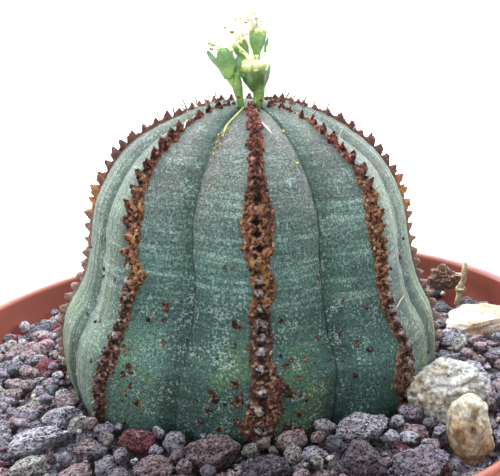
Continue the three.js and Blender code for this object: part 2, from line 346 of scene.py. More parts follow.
# ---- Stem ----
# The ribbed, ball-shaped body of the plant, grown in one piece. Eight blunt ribs meet in narrow valleys, and
# the waxy grey-green skin carries pale growth bands, grainy specks and, on its sides, lengthwise streaks.
RIBS = 8
FIRST_RIB = 1.5  # degrees from the front
stem_place = Matrix.Translation((2.8 * MM, 1 * MM, rim_height)) @ Matrix.Rotation(math.radians(5), 4, "Y")

# (radius, height above the rim plane) in mm along the crest of a rib, from the crown down into the gravel
CREST = [
    (0, 42.3), (7.9, 41.6), (15.1, 38.7), (21.4, 33.9), (25.5, 27.3), (27, 19.8),
    (28.8, 12.5), (32.2, 5.7), (32.7, -2), (30, -9.3), (24, -14.5),
]  # fmt: skip
STEP = 0.25  # mm between the samples of the outline

# How far a rib wanders sideways, as (height in mm, degrees) from the ground up. The others wander at random.
WANDER = {
    -1: [(-6, -4), (3, -2), (10, 0), (18, 1.5), (24, -2), (30, -4), (36, -5), (41, -8)],
    0: [(-6, -0.5), (10, 0), (30, -0.5), (41, 0)],
    1: [(-6, -3), (3, -1), (9, 2), (16, 0.5), (25, 0), (31, 2.5), (36, 2), (41, 2)],
}


def smooth_through(points, share):
    """A point at a share from 0 to 1 along a smooth curve through the points, which are evenly timed."""
    last = len(points) - 1
    index = min(int(share * last), last - 1)
    t = share * last - index
    before = points[max(index - 1, 0)]
    start = points[index]
    end = points[index + 1]
    after = points[min(index + 2, last)]
    made = []
    for p0, p1, p2, p3 in zip(before, start, end, after):
        lean_in = (p2 - p0) / 2
        lean_out = (p3 - p1) / 2
        cubic = 2 * p1 - 2 * p2 + lean_in + lean_out
        square = 3 * p2 - 3 * p1 - 2 * lean_in - lean_out
        made.append(cubic * t**3 + square * t**2 + lean_in * t + p1)
    return made


def even_outline():
    """The crest's outline resampled every STEP mm: (radius, height) from the crown down."""
    fine = [smooth_through(CREST, i / 2000) for i in range(2001)]
    even = [(0.0, fine[0][1])]
    gone = 0.0
    for (r0, z0), (r1, z1) in zip(fine, fine[1:]):
        gone += math.hypot(r1 - r0, z1 - z0)
        if gone >= STEP * len(even):
            even.append((max(r1, 0.0), z1))
    return even


outline = even_outline()
stem_length = STEP * (len(outline) - 2)


def smooth_step(value, low, high):
    share = min(max((value - low) / (high - low), 0.0), 1.0)
    return share * share * (3 - 2 * share)


def bell(distance, width):
    return math.exp(-((distance / width) ** 2))


def lumps_at(x, y, z):
    """Smooth noise from -1 to 1 at a place."""
    return noise.noise(Vector((x, y, z)))


def level(pairs, height):
    """Reads a (height, value) list with smooth steps between its entries."""
    if height <= pairs[0][0]:
        return pairs[0][1]
    for (h0, v0), (h1, v1) in zip(pairs, pairs[1:]):
        if height <= h1:
            return v0 + (v1 - v0) * smooth_step(height, h0, h1)
    return pairs[-1][1]


def from_front(rib):
    """The number of a rib counted from the front one to both sides, from -4 to 3."""
    return (rib + RIBS // 2) % RIBS - RIBS // 2


def rib_angle(rib, height):
    """Degrees from the front of rib number 'rib' at a height."""
    near = from_front(rib)
    if near in WANDER:
        wander = level(WANDER[near], height)
    else:
        wander = 3 * lumps_at(near * 7.3, height / 14, 2)
    return FIRST_RIB + 45 * rib + wander


def outline_at(length):
    """(radius, height, outward and upward part of the normal) at a length in mm from the crown."""
    place = min(max(length / STEP, 0.0), len(outline) - 1.001)
    index = int(place)
    share = place - index
    r0, z0 = outline[index]
    r1, z1 = outline[index + 1]
    run = math.hypot(r1 - r0, z1 - z0) or 1.0
    return r0 + (r1 - r0) * share, z0 + (z1 - z0) * share, (z0 - z1) / run, (r1 - r0) / run


def outer_flank(rib, share):
    """1 on the flank of a valley that faces away from the front rib, 0 on its other flank."""
    return 1.0 if (share > 0.5) == (from_front(rib) >= 0) else 0.0


def skin_point(across, length, lift=0.0):
    """A point on the skin in mm. 'across' counts ribs round the stem, and 'length' runs down from the crown.

    Returns the point, the distances to the nearest valley and rib, and the direction round the stem."""
    radius, height, out, up = outline_at(length)
    rib = math.floor(across)
    share = across - rib
    left = rib_angle(rib, height)
    angle = math.radians(left + (rib_angle(rib + 1, height) - left) * share)
    from_crest = 1 - abs(2 * share - 1)
    half_panel = radius * math.pi / RIBS
    to_valley = (1 - from_crest) * half_panel
    to_crest = from_crest * half_panel
    front = 1.0 if rib % RIBS in (0, RIBS - 1) else 0.6
    flute = front * min(2.4, 0.35 + 0.078 * radius) * smooth_step(radius, 0, 5)
    depth = flute * (0.62 * from_crest + 0.38 * from_crest**2.4)
    crease = 0.2 * front**2 * bell(to_valley, 0.28) * smooth_step(radius, 1, 9)
    bulge = 0.12 * bell(from_crest - 0.6, 0.28) * smooth_step(radius, 4, 16)
    bulge -= 0.16 * outer_flank(rib, share) * bell(to_valley - 0.6, 1.6) * smooth_step(radius, 4, 14)
    grain = Vector((math.sin(angle) * radius, math.cos(angle) * radius, height))
    pinch = 0.22 * lumps_at(across * 3.1, 5.0, height * 0.62) * bell(to_valley, 1.8)
    swell = 0.35 * noise.noise(grain / 8.5) + 0.07 * lumps_at(across * 1.3, 9.0, height * 1.15)
    total = lift - depth - crease + bulge + (pinch + swell) * smooth_step(radius, 0, 8)
    around = Vector((math.sin(angle), -math.cos(angle), 0))
    point = around * (radius + out * total) + Vector((0, 0, height + up * total))
    return point, to_valley, to_crest, around


SKIN_LAYERS = ("height", "to_valley", "to_crest", "flank", "side")


def skin_finish():
    """Waxy grey-green skin. The attributes say where on the plant a place is, in mm and shares."""
    material, tree, shader = new_material("plant_skin", specular=0.35)
    place = object_place(tree)
    grown = attribute(tree, "grown", "Vector")
    panel = attribute(tree, "panel_place", "Vector")
    height, to_valley, to_crest, flank, side = [attribute(tree, name) for name in SKIN_LAYERS]

    def stretched(vector, x, y, z):
        pairs = [("Vector", vector), ("Scale", (x, y, z))]
        return add_node(tree, "ShaderNodeMapping", pairs, vector_type="POINT").outputs[0]

    # The skin darkens towards the ground: partly its own colour, partly painted shade from the gravel and the
    # pot.
    stops = [(0.0, (0.03, 0.08, 0.07)), (0.25, (0.046, 0.106, 0.089)), (0.42, (0.055, 0.118, 0.1))]
    stops += [(0.6, (0.086, 0.172, 0.146)), (0.78, (0.105, 0.17, 0.146)), (1.0, (0.14, 0.17, 0.13))]
    by_height = colour_ramp(tree, between(tree, height, -6.0, 42.0), stops)
    clouds = between(tree, cloud(tree, place, 95.0, 3.0, 0.6), 0.5, 0.66)
    to_right = add_node(tree, "ShaderNodeSeparateXYZ", [("Vector", grown)]).outputs["X"]
    # Painted light: the lower left side is paler, where the light falls.
    painted_light_lower_left = times(tree, between(tree, to_right, -0.25, -0.5), between(tree, height, 15.0, 9.0))
    inner = window(tree, maths(tree, "ABSOLUTE", to_right), (0.68, 0.76), (0.97, 0.9))
    inner = times(tree, inner, window(tree, height, (6.0, 12.0), (30.0, 24.0)))

    bands = cloud(tree, stretched(panel, 1.0, 0.6, 0.04), 1.0, 2.0, 0.7)
    fine_bands = cloud(tree, stretched(panel, 1.0, 1.9, 0.07), 1.0, 1.0)
    banding = weighed(tree, (bands, 0.55), (fine_bands, 0.45))
    band_break = between(tree, cloud(tree, place, 260.0, 3.0), 0.36, 0.56, 0.25)
    banded_zone = window(tree, height, (8.0, 22.0, 0.12), (41.0, 35.0))
    off_crest = between(tree, to_crest, 0.4, 2.2, 0.3)
    banded_zone = times(tree, times(tree, banded_zone, band_break), off_crest)
    pale_bands = times(tree, between(tree, banding, 0.51, 0.6), banded_zone)
    dark_bands = times(tree, between(tree, banding, 0.47, 0.38), banded_zone)

    streaks = cloud(tree, stretched(grown, 34.0, 34.0, 0.05), 1.0, 4.0, 0.65)
    light_streaks = times(tree, between(tree, streaks, 0.52, 0.58), side)
    dark_streaks = times(tree, between(tree, streaks, 0.48, 0.42), side)
    blotches = between(tree, cloud(tree, place, 120.0, 4.0, 0.6), 0.49, 0.64)
    blotches = times(tree, blotches, between(tree, height, 17.0, 2.0))
    flush = between(tree, cloud(tree, place, 150.0, 3.0), 0.33, 0.58, 0.25)
    flush = times(tree, flush, between(tree, height, 23.0, 37.0))
    by_valley = times(tree, between(tree, to_valley, 4.5, 0.4), between(tree, height, 20.0, 31.0))
    by_valley = times(tree, by_valley, maths(tree, "SUBTRACT", 1.0, flank))
    far_flank = times(tree, flank, between(tree, to_valley, 3.6, 0.5))
    # Painted shade: a dark band on both flanks of each valley at mid height.
    painted_valley_shade = times(tree, between(tree, to_valley, 4.2, 1.2), between(tree, height, 19.0, 12.0))
    painted_valley_shade = times(tree, painted_valley_shade, between(tree, cloud(tree, place, 180.0, 3.0), 0.36, 0.5, 0.45))
    growth = [
        (clouds, 0.45, (0.045, 0.105, 0.085)),
        (painted_light_lower_left, 0.55, (0.13, 0.245, 0.2)),
        # The sides are paler: partly their own sage colour, partly painted sheen of grazing light.
        (side, 0.6, (0.155, 0.205, 0.14)),
        (inner, 0.65, (0.055, 0.09, 0.066)),
        (pale_bands, 0.8, (0.22, 0.34, 0.28)),
        (dark_bands, 0.55, (0.035, 0.08, 0.062)),
        (light_streaks, 0.75, (0.29, 0.33, 0.2)),
        (dark_streaks, 0.85, (0.045, 0.095, 0.06)),
        (blotches, 0.65, (0.11, 0.19, 0.055)),
        (flush, 0.65, (0.09, 0.092, 0.095)),
        (by_valley, 0.4, (0.135, 0.115, 0.118)),
        (far_flank, 0.7, (0.03, 0.075, 0.055)),
        (painted_valley_shade, 0.6, (0.03, 0.062, 0.058)),
    ]
    skin = layered(tree, by_height, growth)

    grain = cloud(tree, place, 2500.0, 4.0, 0.8)
    salt = cloud(tree, place, 5600.0, 1.0, 0.9)
    skin = tinted(tree, skin, between(tree, grain, 0.36, 0.66, 0.55, 1.45))
    skin = tinted(tree, skin, between(tree, salt, 0.32, 0.68, 0.4, 1.75))

    near_valley = times(tree, between(tree, to_valley, 4.0, 0.5), between(tree, height, 30.0, 18.0))
    low_down = between(tree, height, 26.0, 5.0, 0.35, 0.6)
    pale_share = maths(tree, "MAXIMUM", low_down, times(tree, near_valley, 0.7))
    chalk = cloud(tree, stretched(grown, 34.0, 34.0, 0.16), 1.0, 4.0, 0.7)
    chalk = times(tree, between(tree, chalk, 0.6, 0.68), between(tree, height, 10.0, 16.0))
    chalk = times(tree, chalk, between(tree, cloud(tree, place, 1800.0, 3.0, 0.7), 0.5, 0.6))
    line_break = between(tree, cloud(tree, place, 700.0, 3.0), 0.36, 0.52, 0.35)
    # Painted shade: a thin dark line along the bottom of each valley.
    painted_crease_shade = times(tree, between(tree, to_valley, 0.24, 0.06), line_break)
    marks = [
        (specks(tree, place, 2500.0, 0.58, 0.45), pale_share, (0.44, 0.58, 0.54)),
        (specks(tree, place, 1300.0, 0.61, 0.5), 0.45, (0.022, 0.05, 0.04)),
        (chalk, 0.9, (0.4, 0.48, 0.48)),
        (painted_crease_shade, 0.8, (0.014, 0.026, 0.022)),
        # Painted shade: darker skin beside the cork along each crest.
        (between(tree, to_crest, 2.4, 1.0), 0.4, (0.045, 0.07, 0.05)),
    ]
    skin = layered(tree, skin, marks)

    rough = between(tree, cloud(tree, place, 500.0, 3.0), 0.3, 0.7, 0.5, 0.68)
    set_inputs(shader, [("Roughness", rough), ("Sheen Weight", 0.06), ("Sheen Roughness", 0.45)])
    ripples = cloud(tree, stretched(grown, 5.0, 5.0, 2.2), 1.0, 3.0)
    dress(tree, shader, skin, weighed(tree, (grain, 0.5), (ripples, 0.7)), 0.6, 0.00028)
    return material


def add_layers(bm, names):
    """Adds layers of numbers to the vertices of a bmesh."""
    return [bm.verts.layers.float.new(name) for name in names]


def write(vert, layers, values):
    for layer, value in zip(layers, values):
        vert[layer] = value


def model_stem():
    """The skin, turned with straight sides at first: its depth there stands for the length from the crown."""
    row_gap = 0.4
    columns_per_rib = 44
    rows = [0.0]
    while rows[-1] < stem_length:
        rows.append(rows[-1] + row_gap)
    profile = [(outline_at(row)[0] * MM, -row * MM) for row in rows]
    bm = turned_shape(profile, columns_per_rib * RIBS)
    vectors = [bm.verts.layers.float_vector.new(name) for name in ("grown", "panel_place")]
    layers = vectors + add_layers(bm, SKIN_LAYERS)
    for vert in bm.verts:
        length = -vert.co.z / MM
        turns = RIBS * math.atan2(vert.co.x, -vert.co.y) / (2 * math.pi) % RIBS
        rib = math.floor(turns + 1e-6)
        share = max(turns - rib, 0.0)
        share += 0.09 * math.sin(2 * math.pi * share)  # brings the mesh's columns closer at a valley
        point, valley, crest, around = skin_point(rib + share, length)
        grown = (around.x, around.y, point.z)
        panel = (7.3 * math.floor(2 * (rib + share)), point.z, valley)
        side = smooth_step(abs(around.x), 0.7, 0.9)
        write(vert, layers, (grown, panel, point.z, valley, crest, outer_flank(rib, share), side))
        vert.co = stem_place @ (point * MM)
    face_outwards(bm)
    make_piece("ribbed_stem", bm, skin_finish(), ["stem"])


model_stem()


# ---- Cork along the ribs ----
# Every rib bears one row of pointed stubs, left by old flower stalks, on a band of crumbling brown cork that
# the plant grows as it ages: dark red-brown near the crown, orange half way, bleached grey near the ground.

# Heights in mm of the stubs on the front rib, from the crown down
FRONT_STUBS = [
    41.2, 40.7, 40, 39.2, 38.2, 37.1, 35.9, 34.6, 33.3, 31.9, 30.4, 28.8, 27.1, 25.2, 23,
    20.9, 18.8, 16.7, 14.5, 12.5, 10.5, 8.3, 5.6, 2.9, 0.2, -2.4, -4.8,
]  # fmt: skip

NEAR_RIBS = (1, 7)  # the neighbours of the front rib, number 0
SIDE_RIBS = (2, 6)  # the ribs at the edges of the stem as seen from the front

# Broad patches of cork: rib, then height, half length, extra half width and sideways shift in mm
CORK_PATCHES = [
    (0, 27.5, 5.5, 1.5, 0), (0, 19, 1.6, 0.3, 1), (0, 4.5, 3.4, 0.9, 1.1), (0, 0.5, 2.5, 0.8, -0.6),
    (-1, 19.5, 0.9, 0.5, 0.9), (-1, 27, 6, 0.5, 0.9), (-1, 6.5, 2.2, 0.6, 0.3), (-1, 0, 3, 0.4, -0.2),
    (1, 14, 1.5, 0.3, 0.2), (1, 3.8, 3.2, 1.6, -0.2), (1, 27, 6, 0.7, -0.7), (2, 24, 5, 0.8, 0),
    (3, 9, 4, 1.2, 0.4), (4, 27, 5, 1.1, 0), (4, 5, 4, 1, -0.5), (-3, 14, 4, 1.2, 0),
    (-2, 22, 5, 0.7, 0),
]  # fmt: skip


def cork_half_width(rib, height, along):
    """(half width, sideways shift) of the cork on a rib at a height, in mm."""
    width = 0.85 + 0.7 * smooth_step(height, 25, 13) + 0.4 * lumps_at(rib * 5.1, along / 2.2, 0)
    if rib == 0:
        width *= smooth_step(along, -1, 8)
    else:
        width -= 0.35 * smooth_step(height, 28, 36)
        width *= smooth_step(along, 7, 18)
    if rib in SIDE_RIBS:
        width -= 0.8 * smooth_step(height, 20, 10)
    if rib in NEAR_RIBS:
        width -= 0.5 * smooth_step(height, 18, 13) + 0.3 * smooth_step(height, 0, -2)
    shift = 0.4 * lumps_at(rib * 3.7, along / 3, 4)
    for patch_rib, centre, half_length, extra, aside in CORK_PATCHES:
        if patch_rib == from_front(rib):
            nearness = bell(height - centre, half_length)
            width += extra * nearness
            shift += aside * nearness
    return width, shift


def length_at(height):
    """The length from the crown at which the crest has a height, in mm."""
    return STEP * next(i for i, (_, z) in enumerate(outline) if z <= height)


def rib_stubs(rib):
    """The stubs of one rib from the crown down: (length, sideways place, size, width, lean, age, sunken)."""
    picks = random.Random(40 + rib)
    lengths = [length_at(height) for height in FRONT_STUBS]
    if rib:
        lengths = [4 + 1.5 * picks.random()]
        while lengths[-1] < stem_length - 8:
            growth = smooth_step(lengths[-1], 0, 22)
            lengths.append(lengths[-1] + (2.05 + 0.15 * growth) * picks.uniform(0.88, 1.12))
    stubs = []
    for length in lengths:
        size = (0.45 + 0.41 * smooth_step(length, 6, 22)) * picks.uniform(0.7, 1.15)
        if rib in SIDE_RIBS:
            size *= 1 - 0.4 * smooth_step(length, 36, 48)
        width = picks.uniform(0.85, 1.2) * (1 + 0.6 * smooth_step(length, 16, 8))
        lean = picks.uniform(0.25, 0.6)
        age = picks.uniform(-2.5, 2.5)
        sunken = 1.0 if rib == 0 and 24 < outline_at(length)[1] < 29.5 else 0.0
        stubs.append((length, picks.uniform(-0.22, 0.22), size, width, lean, age, sunken))
    return stubs


# One of these layers carries painted shade for the hollows under the stubs and the low spots of the scabs.
CORK_LAYERS = ("height", "tip", "painted_pit_shade", "edge", "ring", "outer")


def cork_finish():
    """Crumbling cork: crumbs from near black to cream, painted shade in the hollows, and tips that bleach
    with age.
    """
    material, tree, shader = new_material("rib_cork", 0.88, specular=0.25)
    place = object_place(tree)
    height, tip, painted_pit_shade, edge, ring, outer = [attribute(tree, name) for name in CORK_LAYERS]
    crumbs = cloud(tree, place, 1900.0, 5.0, 0.75)
    clumps = cloud(tree, place, 760.0, 3.0, 0.6)
    grit = cells(tree, place, 2300.0, "Color")
    orange = window(tree, height, (29.0, 25.0), (15.0, 19.0))
    shade = weighed(tree, (crumbs, 0.45), (clumps, 0.25), (grit, 0.3), (orange, 0.02))
    stops = [(0.36, (0.008, 0.005, 0.005)), (0.44, (0.05, 0.02, 0.012)), (0.5, (0.14, 0.052, 0.026))]
    stops += [(0.56, (0.29, 0.125, 0.055)), (0.62, (0.45, 0.25, 0.12)), (0.7, (0.72, 0.58, 0.42))]
    warm = colour_ramp(tree, shade, stops)
    stops = [(0.36, (0.008, 0.006, 0.006)), (0.44, (0.035, 0.016, 0.015)), (0.5, (0.095, 0.042, 0.034))]
    stops += [(0.56, (0.19, 0.1, 0.072)), (0.63, (0.36, 0.26, 0.21)), (0.71, (0.68, 0.62, 0.54))]
    dull = colour_ramp(tree, shade, stops)
    middle = window(tree, height, (35.0, 30.0), (12.0, 18.0))
    base = blend_colour(tree, maths(tree, "ADD", times(tree, middle, 0.7), 0.2), dull, warm)
    reddish = between(tree, height, 32.0, 36.0, 0.0, 0.55)
    base = blend_colour(tree, reddish, base, tinted(tree, base, (1.35, 0.6, 0.5)))
    purple_mask = between(tree, cloud(tree, place, 340.0, 3.0), 0.5, 0.62)
    rimmed = layered(tree, base, [(purple_mask, 0.35, (0.1, 0.05, 0.062)), (edge, 0.45, (0.33, 0.15, 0.08))])
    zone = window(tree, height, (31.0, 29.5), (15.0, 19.0))
    ring = times(tree, times(tree, ring, zone), between(tree, shade, 0.42, 0.52))
    amber = blend_colour(tree, crumbs, (0.36, 0.13, 0.03), (0.7, 0.36, 0.11))
    fawn = blend_colour(tree, crumbs, (0.3, 0.11, 0.065), (0.62, 0.33, 0.22))
    ring_tone = blend_colour(tree, between(tree, height, 24.0, 25.5), amber, fawn)
    ringed = blend_colour(tree, ring, rimmed, ring_tone)
    ash = blend_colour(tree, between(tree, height, 23.5, 20.5), (0.055, 0.048, 0.052), (0.42, 0.4, 0.4))
    flaky = between(tree, shade, 0.4, 0.53)
    tipped = blend_colour(tree, times(tree, tip, flaky), ringed, ash)
    stops = [(0.0, (0.4, 0.27, 0.22)), (0.56, (0.36, 0.22, 0.17)), (0.65, (0.62, 0.27, 0.09))]
    stops += [(0.73, (0.5, 0.22, 0.1)), (0.82, (0.19, 0.085, 0.08))]
    wax = colour_ramp(tree, between(tree, height, 0.0, 42.0), stops)
    # Painted shade: near black in the hollows under the stubs.
    pitted = layered(tree, tipped, [(outer, 0.65, wax), (painted_pit_shade, 0.95, (0.007, 0.005, 0.005))])
    dress(tree, shader, pitted, shade, 1.0, 0.0005)
    return material


cork = cork_finish()
CORK_REACH = 3.8  # mm that the cork's mesh reaches to each side of the crest, its edges under the skin


def stub_lift(aside, along, stub, height):
    """(lift, lean, closeness to the tip, hollow, ring) of one stub at a place, in mm and shares. The hollow
    under the stub dips the cork and is also painted dark as shade.
    """
    centre, sideways, size, width, lean, age, sunken = stub
    down = along - centre
    across = aside - sideways
    if abs(down) > 3 or abs(across) > 2:
        return 0.0, 0.0, 0.0, 0.0, 0.0
    old = smooth_step(height + age, 22, 18)
    wobble = 1 + 0.45 * lumps_at(across / 0.5, down / 0.5, centre)
    reach = (0.62 if down < 0 else 1.45) * size
    cone = max(0.0, 1 - wobble * math.hypot(across / (1.05 * size * width), down / reach))
    dome = max(0.0, 1 - (wobble * math.hypot(across / (0.82 * width), (down + 0.1) / 0.8)) ** 2)
    lift = (1 - old) * 1.35 * size * cone**0.6 + old * 0.8 * dome**0.7
    hollow = bell(down - 1.28 * size, 0.42) * bell(across, 0.62 * width)
    hollow *= 1 - smooth_step(height, 33, 38) * 0.7
    tip = (1 - old) * smooth_step(cone, 0.6, 0.8) + old * smooth_step(dome, 0.25, 0.6)
    ring = bell(math.hypot(across, down - 0.3) - 0.95, 0.32)
    if sunken:
        rim = bell(abs(across) / 1.25 + abs(down) / 0.95 - 1, 0.24)
        hollow = 1.2 * smooth_step(abs(across) / 0.9 + abs(down) / 0.8, 1, 0.5)
        return 0.4 * rim, 0.0, 0.0, hollow, 1.2 * rim
    return lift, (1 - old) * lean, tip, hollow, ring


def model_cork(rib):
    """One band of cork: a fine grid laid along the crest and raised by its stubs."""
    stubs = rib_stubs(rib)
    start = 3.5
    end = stem_length - 9
    pitch = 0.155 if rib in (0, *NEAR_RIBS) else 0.19  # mm between vertices, finer where seen best
    rows = int((end - start) / pitch)
    columns = int(2 * CORK_REACH / pitch)
    bm = bmesh.new()
    bmesh.ops.create_grid(bm, x_segments=columns, y_segments=rows, size=1)
    layers = add_layers(bm, CORK_LAYERS)
    for vert in bm.verts:
        along = start + (1 - vert.co.y) / 2 * (end - start)
        radius, height = outline_at(along)[:2]
        panel = radius * math.pi / 4  # mm from rib to rib
        reach = min(CORK_REACH, 0.42 * panel)
        aside = vert.co.x * reach
        width, shift = cork_half_width(rib, height, along)
        ragged = 0.5 * lumps_at(aside / 0.9, along / 0.9, rib * 9.0)
        ragged += 0.3 * lumps_at(aside / 0.35, along / 0.35, rib * 9.0)
        inside = smooth_step(abs(aside - shift), width + 0.3 + ragged, width - 0.1 + ragged)
        inside *= smooth_step(reach - abs(aside), 0, 0.4)
        nearest = min(range(len(stubs)), key=lambda i: abs(stubs[i][0] - along))
        found = [stub_lift(aside, along, stub, height) for stub in stubs[max(nearest - 1, 0) : nearest + 2]]
        lift, lean, tip, _, _ = max(found)
        # The hollows are painted dark as shade as well as dipped.
        hollow = max(values[3] for values in found) * (1 - smooth_step(lift, 0.25, 0.7))
        if rib == 0:
            hollow = max(hollow, bell(height - 31.2, 0.8) * bell(aside, 0.9))
        ring = max(values[4] for values in found)
        bleached = 1.0 if rib == 0 else 0.35 + 0.6 * smooth_step(height, 7, 12) * (rib in NEAR_RIBS)
        crumble = 0.17 * lumps_at(aside / 0.62, along / 0.62, rib * 2.0 + 50)
        crumble += 0.13 * lumps_at(aside / 0.27, along / 0.27, rib * 2.0 + 80)
        cover = max(inside, smooth_step(lift, 0.02, 0.16))
        crust = (0.42 + 1.4 * crumble) * inside + 1.7 * crumble * min(lift, 1)
        total = cover * max(crust + lift - 0.5 * hollow, 0.09) - (1 - cover) * 0.35
        tip *= bleached if height < 21 else 0.85
        edge = bell(inside - 0.45, 0.3) * (1 - smooth_step(lift, 0.05, 0.3))
        ring *= cover * (0.7 if rib in (0, 7) else 0.3)
        write(vert, layers, (height, tip, hollow * cover, edge, ring, float(rib in SIDE_RIBS)))
        vert.co = stem_place @ (skin_point(rib + aside / panel, along - lean * lift, total)[0] * MM)
    face_outwards(bm)
    outward = bm.faces[len(bm.faces) // 2]
    axis_point = stem_place @ Vector((0, 0, 0.02))
    if outward.normal.dot(outward.calc_center_median() - axis_point) < 0:
        bmesh.ops.reverse_faces(bm, faces=bm.faces[:])
    make_piece(f"rib_cork_{rib + 1}", bm, cork, ["stem"])


for rib in range(RIBS):
    model_cork(rib)


# ---- Corky spots on the skin ----
# Small raised scabs that grow where the skin was scratched or scarred, of the same crumbling brown cork. They
# are thickest low down on the plant.

# Degrees from the front, height, half width and half length, the last three in mm
SPOTS = [
    (-29.5, 16, 0.55, 0.5), (-28.8, 15.2, 0.4, 0.4), (-34, 13.6, 0.5, 0.5), (-29, 13.8, 0.4, 0.35),
    (-28, 11, 0.4, 0.4), (-38.5, 8.8, 0.4, 0.45), (-36.5, 6.8, 0.7, 0.6), (-35.5, 6.2, 0.4, 0.5),
    (-38, 5.3, 0.6, 0.6), (-35.5, 3.8, 0.5, 0.55), (-33, 1.4, 0.5, 0.45), (-37, 2.4, 0.5, 0.4),
    (-9.5, 22.2, 0.3, 0.4), (-6, 14.4, 0.5, 0.7), (-5, 14, 0.9, 0.35), (-6, 11.5, 0.4, 0.4),
    (-5.5, 6.8, 0.6, 0.5), (-11.5, 5.2, 0.7, 0.6), (-10.5, 4.2, 0.7, 0.6), (-12.5, 2.3, 0.6, 0.5),
    (-4.5, 4.1, 0.9, 0.9), (-14.5, 0.2, 0.5, 0.45), (-5, 1.2, 0.6, 0.55), (-9, -0.4, 0.7, 0.35),
    (32.5, 10.2, 0.5, 0.45), (35.5, 9.1, 0.35, 0.35), (29, 6.1, 0.5, 0.45), (38.5, 14.5, 0.35, 0.4),
    (30.5, 16.5, 0.3, 0.3), (14, 9.7, 0.3, 0.35), (10, 9.6, 0.5, 0.35), (8.2, 9.1, 0.6, 0.35),
    (12, 7.2, 0.55, 0.4), (11.5, 4.9, 0.35, 0.35), (13.5, 3.8, 0.4, 0.4), (18, -1.1, 0.5, 0.5),
    (11.5, 1.9, 0.5, 0.5), (6.3, 7, 0.8, 0.7), (7.8, 5.9, 0.9, 0.8), (9.2, 4.8, 0.6, 0.6),
    (8, 0.2, 0.9, 0.6), (10.5, -0.6, 1.1, 0.7), (13, -1.4, 0.8, 0.6), (8, 14.6, 0.4, 0.5),
]  # fmt: skip


def rib_count_at(angle, height):
    """The 'across' value of skin_point for an angle from the front in degrees at a height."""
    for rib in range(-RIBS // 2 - 1, RIBS // 2 + 1):
        left = rib_angle(rib, height)
        right = rib_angle(rib + 1, height)
        if left <= angle < right:
            return rib + (angle - left) / (right - left)
    return 0.0


def add_spot(bm, layers, angle, height, half_width, half_length, seed, fineness):
    """Adds one scab: a small grid laid on the skin, raised in the middle, its ragged edge under the skin."""
    middle = rib_count_at(angle, height)
    length = length_at(height)
    panel = outline_at(length)[0] * math.pi / 4
    made = bmesh.ops.create_grid(bm, x_segments=fineness, y_segments=fineness, size=1.35)["verts"]
    for vert in made:
        u, v = vert.co.x, vert.co.y
        ragged = 0.45 * lumps_at(u * 1.4, v * 1.4, seed * 3.1)
        inside = smooth_step(math.hypot(u, v) + ragged, 1.12, 0.8)
        crumble = lumps_at(u * half_width / 0.3, v * half_length / 0.3, seed * 5.7)
        lift = inside * (0.2 + 0.22 * crumble) - (1 - inside) * 0.3
        point = skin_point(middle + u * half_width / panel, length + v * half_length, lift)[0]
        colour = 14.0 + 6 * lumps_at(seed * 1.3, 0, 0)  # coloured like the cork at this height
        tip = 0.5 * smooth_step(crumble, 0.25, 0.5)
        # Painted shade in the scab's low spots.
        painted_pit_shade = 0.8 * smooth_step(crumble, -0.1, -0.4)
        write(vert, layers, (colour, tip, painted_pit_shade, bell(inside - 0.5, 0.25)))
        vert.co = stem_place @ (point * MM)


def model_spots():
    bm = bmesh.new()
    layers = add_layers(bm, CORK_LAYERS)
    for index, spot in enumerate(SPOTS):
        add_spot(bm, layers, *spot, index, 14)
    picks = random.Random(8)
    for index in range(150):
        angle = picks.uniform(-178, 178)
        height = -3 + 26 * picks.random() ** 1.8
        size = picks.uniform(0.16, 0.3) if abs(angle) < 45 else picks.uniform(0.2, 0.5)
        add_spot(bm, layers, angle, height, size, size * picks.uniform(0.7, 1.3), 60 + index, 7)
    face_outwards(bm)
    axis = stem_place @ Vector((0, 0, 0.01))
    inward = [face for face in bm.faces if face.normal.dot(face.calc_center_median() - axis) < 0]
    bmesh.ops.reverse_faces(bm, faces=inward)
    make_piece("skin_scabs", bm, cork, ["stem"])


model_spots()


# ---- Gravel bed ----
# The buried part of the top dressing. It stays the solid of the frame, because the stones cover it, and has
# a near-black finish of lava, which shows only in the gaps between the stones: painted shade there.
def gravel_bed_finish():
    material, tree, shader = new_material("gravel_bed", 0.95)
    place = object_place(tree)
    crumb = cloud(tree, place, 420.0, 5.0, 0.7)
    # Painted shade: near black, for the gaps between the stones.
    stops = [(0.35, (0.008, 0.007, 0.008)), (0.55, (0.04, 0.034, 0.036)), (0.75, (0.13, 0.11, 0.12))]
    base = colour_ramp(tree, crumb, stops)
    dress(tree, shader, base, crumb, 1.0, 0.001)
    return material


finish_solid("gravel_bed", gravel_bed_finish())


# ---- Lava stones ----
# Crushed lava, 1 to 10 mm across: grey, mauve and reddish lumps full of small bubbles, heaped a little
# against the front of the plant. The larger ones stand for the frame's stones, and smaller ones fill gaps.
MAUVE = (0.22, 0.2, 0.25)
PALE_MAUVE = (0.36, 0.35, 0.41)
PINK_BROWN = (0.3, 0.22, 0.24)
BROWN = (0.23, 0.18, 0.19)
RED = (0.16, 0.048, 0.062)
GREENISH = (0.27, 0.265, 0.25)
DARK_GREY = (0.12, 0.12, 0.145)
# A dark mauve, darkened further as painted shadow, for stones just in front of the plant.
SHADOWED_DEEP_MAUVE = (0.13, 0.115, 0.14)
LAVA_TONES = [MAUVE, MAUVE, PALE_MAUVE, PALE_MAUVE, PINK_BROWN, BROWN, GREENISH, DARK_GREY, MAUVE, PINK_BROWN]
LAVA_TONES = LAVA_TONES * 3 + [RED]

